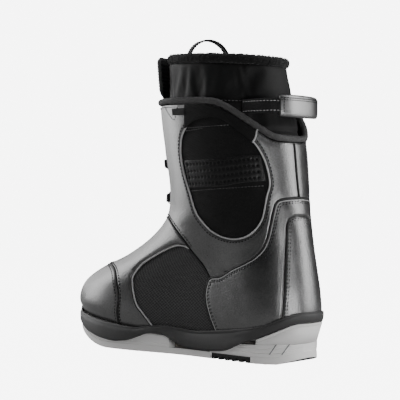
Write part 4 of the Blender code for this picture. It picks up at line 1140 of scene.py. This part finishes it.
def make_carry_strap(m):
    """A loop behind the liner: a leg of webbing on each side and a wrapped grip over the back."""
    knots = [(x, s, STRAP_HEIGHT) for x, s in STRAP_ROUTE]
    knots += [(-x, s, STRAP_HEIGHT) for x, s in STRAP_ROUTE[:-1]][::-1]
    route = spline_path(knots, 121)
    up = np.tile([0.0, 0.0, 1.0], (121, 1))
    white, dark = Pile(), Pile()
    for name, part in (("inner", slice(0, 37)), ("outer", slice(84, 121))):
        points, faces, out = strap_mesh(route[part], up[part], 14.0, 2.2)
        piece = add_piece(f"strap_leg_{name}_web", to_frame(points), faces, m["webbing"], "strap", "webbing",
                          [f"strap_leg_{name}"])
        face_out(piece)
        side = 1 if (route[part][10] - np.array([0, 40, STRAP_HEIGHT])) @ out[10] > 0 else -1
        for rise in (4.6, -4.6):
            stitches(white, route[part] + out * side * 1.15 + up[part] * rise, out * side, 3.4, 2.2, 0.4)
    grip = slice(35, 86)
    swell = 1 + 0.10 * np.sin(np.linspace(0, math.pi, 51)) ** 0.5
    points, faces, out = strap_mesh(route[grip], up[grip], 20.0 * swell, 5.6 * swell, 28, 0.6)
    face_out(add_piece("strap_grip_wrap", to_frame(points), faces, m["leather"], "strap", "leather",
                       ["strap_grip"]))
    side = 1 if out[25][1] < 0 else -1
    path = route[grip]
    for rise in (7.4, 5.4):
        line = path + out * side * 2.95 * swell[:, None] + up[grip] * rise
        stitches(dark, line, out * side, 3.2, 2.1, 0.42)
    for at in (3, 47):
        column = path[at] + out[at] * side * 3.0 + np.linspace(-7, 7, 20)[:, None] * np.array([0, 0, 1.0])
        stitches(dark, column, np.tile(out[at] * side, (20, 1)), 3.0, 2.0, 0.42)
    white.piece("strap_leg_stitches", m["thread_white"], body="strap", slot="webbing")
    dark.piece("strap_grip_stitches", m["thread"], body="strap", slot="leather")


def make_pull_loop(m):
    """An arch of webbing at the liner's front."""
    a, b = np.array(LOOP_FEET)
    middle, reach = (a + b) / 2, (b - a) / 2
    angles = np.linspace(0, math.pi, 61)
    path = middle - np.cos(angles)[:, None] * reach
    path[:, 2] += LOOP_RISE * np.sin(angles) ** 0.8
    across = np.cross([0, 0, 1.0], b - a)
    across = np.tile(across / np.linalg.norm(across), (61, 1))
    points, faces, out = strap_mesh(path, across, 9.0, 1.9, 16)
    face_out(add_piece("pull_loop_web", to_frame(points), faces, m["webbing"], "loop", "webbing",
                       ["pull_loop"]))
    white = Pile()
    for shift in (-3.0, 3.0):
        for part in (slice(4, 24), slice(37, 57)):
            for side in (1.05, -1.05):
                line = path[part] + across[part] * shift + out[part] * side
                stitches(white, line, out[part] * side, 3.0, 2.0, 0.4)
    white.piece("pull_loop_stitches", m["thread_white"], body="loop", slot="webbing")


def make_collar(m):
    """Padded roll along the top of both quarters, with the stitches and the label under it."""
    half = [FORM.place(a, v, -0.8) + np.array([0, 0, 4.0]) for a, v in COLLAR[1:]]
    other = [p * np.array([-1, 1, 1]) for p in half]
    path = spline_path(half[::-1] + other, 360)
    walked = np.arange(360)
    radius = 3.1 + 0.12 * np.sin(walked * 0.9) + 0.10 * np.sin(walked * 2.1 + 1.0)
    radius[0] = radius[-1] = 2.4
    normals = np.tile([0.0, 0.0, 1.0], (360, 1))
    points, faces = tube_mesh(path, normals, radius, 16)
    piece = add_piece("collar_roll", to_frame(points), [f[::-1] for f in faces], m["binding"], slot="binding",
                      stands_for=["collar_binding"])
    grey_thread = Pile()
    for side in ("inner", "outer"):
        under_roll = [(a, v - 0.07) for a, v in on_side(side, COLLAR[1:])]
        for line, lift in ((under_roll, 0.25), (on_side(side, NOTCH), 0.15)):
            skin_stitches(grey_thread, line_on_skin(line), lift, pitch=3.0, length=2.0, width=0.4)
    grey_thread.piece("collar_stitches", m["thread_grey"], slot="binding")
    curve = rounded(LABEL, corners={0, 1, 2, 3})
    solid_sheet("collar_label_woven", curve, m["label"], rolled(0.7, 0.3, 0.8), 0.0, rings=(0.5, 1.2),
                base=1.1, slot="label", stands_for=["collar_label"])


# ---------------------------------------------------------------- liner

def liner_lift(level):
    share = (np.asarray(level, float) - 8.0) / 3.0
    return LINER_LIFT + (LINER_TOP_LIFT - LINER_LIFT) * smooth(share)


def shell_rows(levels, lift, columns):
    a = np.arange(columns) / columns
    return [FORM.place(a, np.full(columns, v), np.full(columns, d)) for v, d in zip(levels, lift)]


def cloth_settled(piece, pinned, pressure, cap):
    """Lets a closed fabric body fill under pressure while its seams are held, then keeps the shape."""
    group = piece.vertex_groups.new(name="held")
    group.add([int(k) for k in pinned], 1.0, "REPLACE")
    cloth = piece.modifiers.new("settle", "CLOTH")
    cloth.settings.quality = 6
    cloth.settings.mass = 0.15
    cloth.settings.tension_stiffness = cloth.settings.compression_stiffness = 18
    cloth.settings.bending_stiffness = 0.4
    cloth.settings.use_pressure = True
    cloth.settings.uniform_pressure_force = pressure
    cloth.settings.vertex_group_mass = "held"
    cloth.settings.shrink_min = -0.05
    cloth.settings.effector_weights.gravity = 0
    cloth.point_cache.frame_start, cloth.point_cache.frame_end = 1, 20
    scene = bpy.context.scene
    for step in range(1, 21):
        scene.frame_set(step)
    count = len(piece.data.vertices)
    before, after = np.zeros(count * 3), np.zeros(count * 3)
    piece.data.vertices.foreach_get("co", before)
    settled = piece.evaluated_get(bpy.context.evaluated_depsgraph_get()).to_mesh()
    settled.vertices.foreach_get("co", after)
    before, after = before.reshape(-1, 3), after.reshape(-1, 3)
    move = np.nan_to_num(after - before)
    length = np.linalg.norm(move, axis=1, keepdims=True)
    move *= np.minimum(1.0, cap / np.maximum(length, 1e-9))
    piece.modifiers.remove(cloth)
    piece.data.vertices.foreach_set("co", (before + move).ravel())
    piece.data.update()
    scene.frame_set(1)


def make_liner(m):
    """Padded inner boot: fabric round a foam wall, sewn down along seams so that it swells between them."""
    columns = 132
    outer = np.concatenate([np.linspace(0.4, 7.6, 22), np.linspace(7.8, 10.72, 27)])
    inner = np.concatenate([np.linspace(10.72, 8.0, 22), np.linspace(7.4, 0.8, 14)])
    lifts = np.concatenate([liner_lift(outer) - 0.9, [liner_lift(LINER_MOUTH) - 2.5],
                            liner_lift(inner) - 4.3])
    levels = np.concatenate([outer, [LINER_MOUTH], inner])
    rows = shell_rows(levels, lifts, columns)
    a = np.arange(columns) / columns
    seams_round = [8.95, 9.9]
    seams_up = [0.115, 0.885, 0.36, 0.64]
    pinned = []
    for i, (level, row) in enumerate(zip(levels, rows)):
        out = i < len(outer)
        gap_round = min(abs(level - s) * 46 for s in seams_round)
        gap_up = np.min([np.abs(a - s) * 520 for s in seams_up], axis=0)
        gap = np.minimum(gap_up, gap_round)
        if out and level > 7.6:
            held = np.exp(-(gap / 2.2) ** 2)
            normal = FORM.direction(a, np.full(columns, level))
            rows[i] = row - normal * (held * 1.0)[:, None]
            pinned += [i * columns + k for k in np.nonzero(gap < 1.6)[0]]
        else:
            pinned += range(i * columns, (i + 1) * columns)
    last = len(rows)
    soles = []
    for row, rise in ((rows[0], 0.6), (rows[-1], 5.6)):
        base = row * np.array([0.93, 1, 1])
        base[:, 2] = [floor_height(s) + rise for s in base[:, 1]]
        soles.append(base)
    rows = [soles[0], *rows, soles[1]]
    pinned = [p + columns for p in pinned] + list(range(columns)) + list(
        range((last + 1) * columns, (last + 2) * columns))
    points = np.array(rows).reshape(-1, 3)
    faces = [(a, d, c, b) for a, b, c, d in loft_faces(len(rows), columns)[:-2]]
    half = columns // 2
    for first in (0, (len(rows) - 1) * columns):
        faces += [(first + k, first + k + 1, first + columns - k - 1, first + (columns - k) % columns)
                  for k in range(1, half - 1)]
        faces += [(first, first + 1, first + columns - 1), (first + half - 1, first + half, first + half + 1)]
    piece = add_piece("liner_padded", to_frame(points), faces, m["liner"], None, "liner", ["liner"])
    face_out(piece)
    cloth_settled(piece, pinned, 4.0, 2.2 * MM)
    smooth_more = piece.modifiers.new("smooth", "SUBSURF")
    smooth_more.levels = smooth_more.render_levels = 1
    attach(piece, "boot")
    seam = Pile()
    for level in (8.99, 9.94):
        ring = np.linspace(0, 1, 140)
        lift = float(liner_lift(level)) - 0.9
        skin_stitches(seam, np.stack([ring, np.full(140, level)], 1), lift, pitch=3.6, length=2.4, width=0.45)
    seam.piece("liner_stitches", m["thread_grey"], slot="liner")
    make_fleece(m)
    outline = over_front([(0.5, 6.6), (0.44, 6.6), (0.43, 7.4), (0.43, 9.0), (0.43, 10.5), (0.5, 10.5)])
    curve = fitted(outline, 0.4)

    def pad(gap, around, level):
        quilt = 0.5 * np.cos((level - 7.0) * 46 / 9 * math.pi) ** 2
        return liner_lift(level) - 6.5 - 1.2 * (1 - smooth(gap / 5)) + quilt
    solid = solid_sheet("liner_tongue_pad", curve, m["liner"], pad, 14.5, cell=4.5, slot="liner",
                        stands_for=["liner_tongue"])
    make_footbed(m)


def make_footbed(m):
    """A felt-topped insole, dished and raised at its rim toward the heel."""
    along, wide = footprint(-15.0)
    rows = []
    for s in crowded(along[0] + 1.0, along[-1] - 1.0, 44):
        w = max(float(np.interp(s, along, wide)), 2.0)
        base = floor_height(s) + 6.4
        rim = 1.6 * max(0.0, 1 - s / 110.0)
        top = [(x * w, s, base + 2.4 + (rim + 0.5) * abs(x) ** 3 - 0.3 * (1 - abs(x)))
               for x in np.linspace(1, -1, 13)]
        rows.append([(-w, s, base), (w, s, base)] + top)
    piece = loft_piece("footbed_foam", rows, m["footbed"], slot="footbed", stands_for=["footbed"])


def make_fleece(m):
    """A thick ring of pile at the liner's mouth: a lumpy core covered with short tufts."""
    count, sides = 260, 20
    ring = np.arange(count) / count
    lift = float(liner_lift(LINER_MOUTH)) - 2.5
    path = FORM.place(ring, np.full(count, LINER_MOUTH), np.full(count, lift)) + np.array([0, 0, 3.0])
    normals = np.tile([0.0, 0.0, 1.0], (count, 1))
    unit, faces = tube_mesh(path, normals, 1.0, sides, closed=True)
    centre = np.repeat(path, sides, 0)
    out = unit - centre
    rng = np.random.default_rng(7)
    u, v = np.repeat(np.arange(count), sides), np.tile(np.arange(sides), count)
    lumps = np.zeros(len(u))
    for _ in range(16):
        n, k, phase = rng.integers(9, 110), rng.integers(0, 7), rng.uniform(0, TWO_PI)
        lumps += np.cos(TWO_PI * (n * u / count + k * v / sides) + phase)
    points = centre + out * (FLEECE_RADIUS + 0.10 * lumps)[:, None]
    piece = add_piece("fleece_ring", to_frame(points), [f[::-1] for f in faces], m["fleece"], slot="fleece",
                      stands_for=["fleece_collar"])
    tufts = Pile()
    for k in rng.choice(len(points), TUFTS, replace=False):
        base, way = points[k] - out[k] * 0.3, out[k] + rng.normal(0, 0.45, 3)
        way /= np.linalg.norm(way)
        side = np.cross(way, rng.normal(0, 1, 3))
        side /= np.linalg.norm(side)
        other = np.cross(way, side)
        r, tall = 0.42, rng.uniform(0.9, 1.7)
        foot = [base + side * r, base - side * r / 2 + other * r * 0.87,
                base - side * r / 2 - other * r * 0.87]
        tufts.add(to_frame(foot + [base + way * tall]), [(0, 1, 2), (1, 0, 3), (2, 1, 3), (0, 2, 3)])
    tufts.piece("fleece_tufts", m["fleece"], slot="fleece", smooth=False)


# ---------------------------------------------------------------- tongue, reel and laces

def frame_on_skin(around, level, lift):
    """A placing matrix on the skin: local Z points out of it, local Y runs up it."""
    out = FORM.direction(around, level)
    z = Vector((out[0], -out[1], out[2])).normalized()
    up = Vector(to_frame(FORM.place(around, level + 0.1)) - to_frame(FORM.place(around, level - 0.1)))
    y = (up - z * up.dot(z)).normalized()
    x = y.cross(z)
    turn = Matrix((x, y, z)).transposed().to_4x4()
    return Matrix.Translation(Vector(to_frame(FORM.place(around, level, lift)))) @ turn


def make_tongue(m):
    """The outer tongue, padded, with a bound top edge."""
    half = [(0.5, THROAT), (TONGUE_EDGE, THROAT + 0.12), *TONGUE_TOP]
    curve = fitted(over_front(half), 1.0)

    def face(gap, around, level):
        lift = smooth(gap / 2.4) - 1.0 + 0.5 * smooth(gap / 9.0)
        lift = lift - 0.5 * np.exp(-((level - 9.75) * 46 / 1.3) ** 2)
        return lift - 0.3 * np.exp(-((gap - 3.2) / 0.6) ** 2)
    piece = solid_sheet("tongue_skin", curve, m["tongue"], face, 1.8, body="tongue", slot="tongue",
                        stands_for=["tongue"], base=-1.4)
    edge = shifted(curve, -0.6 if turns_left(curve) else 0.6)
    edge = edge[np.argsort(np.arctan2(edge[:, 0] - 0.5, edge[:, 1] - 10.2))]
    top = edge[edge[:, 1] > 10.05]
    path = FORM.place(top[:, 0], top[:, 1], np.full(len(top), -2.2))
    normals = np.tile(FORM.direction(0.5, 10.5), (150, 1))
    points, faces = tube_mesh(spline_path(path, 150), normals, 1.9, 12)
    face_out(add_piece("tongue_bound_edge", to_frame(points), [f[::-1] for f in faces], m["binding"],
                       "tongue", "binding", ["tongue_binding"]))
    thread = Pile()
    skin_stitches(thread, top, -0.2, pitch=3.01, length=2.0, width=0.4)
    inner = shifted(curve, 3.2 if turns_left(curve) else -3.2)
    skin_stitches(thread, inner, -0.85)
    thread.piece("tongue_stitches", m["thread_grey"], body="tongue", slot="tongue")


def make_reel(m):
    """Ribbed dial over its base; the plain turned pieces under it come from the CAD."""
    place = frame_on_skin(*REEL)
    count = 144
    rings = [(3.2, 5.6, 0), (13.6, 5.6, 0), (14.0, 6.0, 1), (14.0, 7.9, 1), (13.3, 8.8, 1), (11.6, 9.4, 0),
             (3.2, 9.4, 0)]
    points = []
    for radius, height, ribbed in rings:
        for k in range(count):
            r = radius - (0.55 if k % 4 in (2, 3) else 0.0) * ribbed
            angle = TWO_PI * k / count
            points.append(place @ Vector((math.cos(angle) * r * MM, math.sin(angle) * r * MM, height * MM)))
    faces = loft_faces(len(rings), count, closed=True)
    face_out(add_piece("dial_ribbed", points, faces, m["dial"], "dial", "dial", ["dial"], smooth=False))


def make_laces(m):
    """Each lace leaves the reel's side and runs down through the guides on its own side."""
    reel = frame_on_skin(*REEL)
    for side, sign in (("inner", 1), ("outer", -1)):
        route = [reel @ Vector((sign * 15.9 * MM, -3.0 * MM, 3.4 * MM)),
                 reel @ Vector((sign * 18.5 * MM, -7.0 * MM, 3.6 * MM))]
        for around, level, base in GUIDES:
            place = frame_on_skin(around if sign > 0 else 1 - around, level, base + 0.9 + 2.3)
            route += [place @ Vector((0, share * GUIDE_LENGTH * MM, 0))
                      for share in (0.6, 0.3, 0, -0.3, -0.6)]
        path = spline_path(route, 260)
        normals = np.tile([0.0, -1.0, 0.1], (260, 1))
        points, faces = tube_mesh(path / MM, normals, 0.7, 10)
        angle = np.tile(np.arange(10), 260) - np.repeat(np.arange(260), 10) * 0.8
        centre = np.repeat(path / MM, 10, 0)
        points = centre + (points - centre) * (1 + 0.07 * np.cos(angle * TWO_PI / 10 * 3))[:, None]
        piece = add_piece(f"lace_{side}_cord", points * MM, faces, m["lace"], None, "lace", [f"lace_{side}"])
        face_out(piece)
        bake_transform(piece)


# ---------------------------------------------------------------- CAD pieces that still show

def finish_cad(m):
    """Gives each CAD node that no piece stands for a material with detail."""
    shown = {"shank": "board", "lasting_board": "board", "heel_stiffener": "board", "toe_puff": "board",
             "reel_base": "hardware", "reel_spool": "hardware", "dial_hub": "steel", "dial_cap": "steel"}
    for name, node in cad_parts.items():
        material = m["hardware"] if "guide" in name else m.get(shown.get(name, ""))
        if material:
            node.data.materials.clear()
            node.data.materials.append(material)


def main():
    make_stage()
    m = make_materials()
    make_upper(m)
    make_sole(m)
    make_collar(m)
    make_liner(m)
    make_tongue(m)
    make_reel(m)
    make_laces(m)
    make_carry_strap(m)
    make_pull_loop(m)
    finish_cad(m)


main()
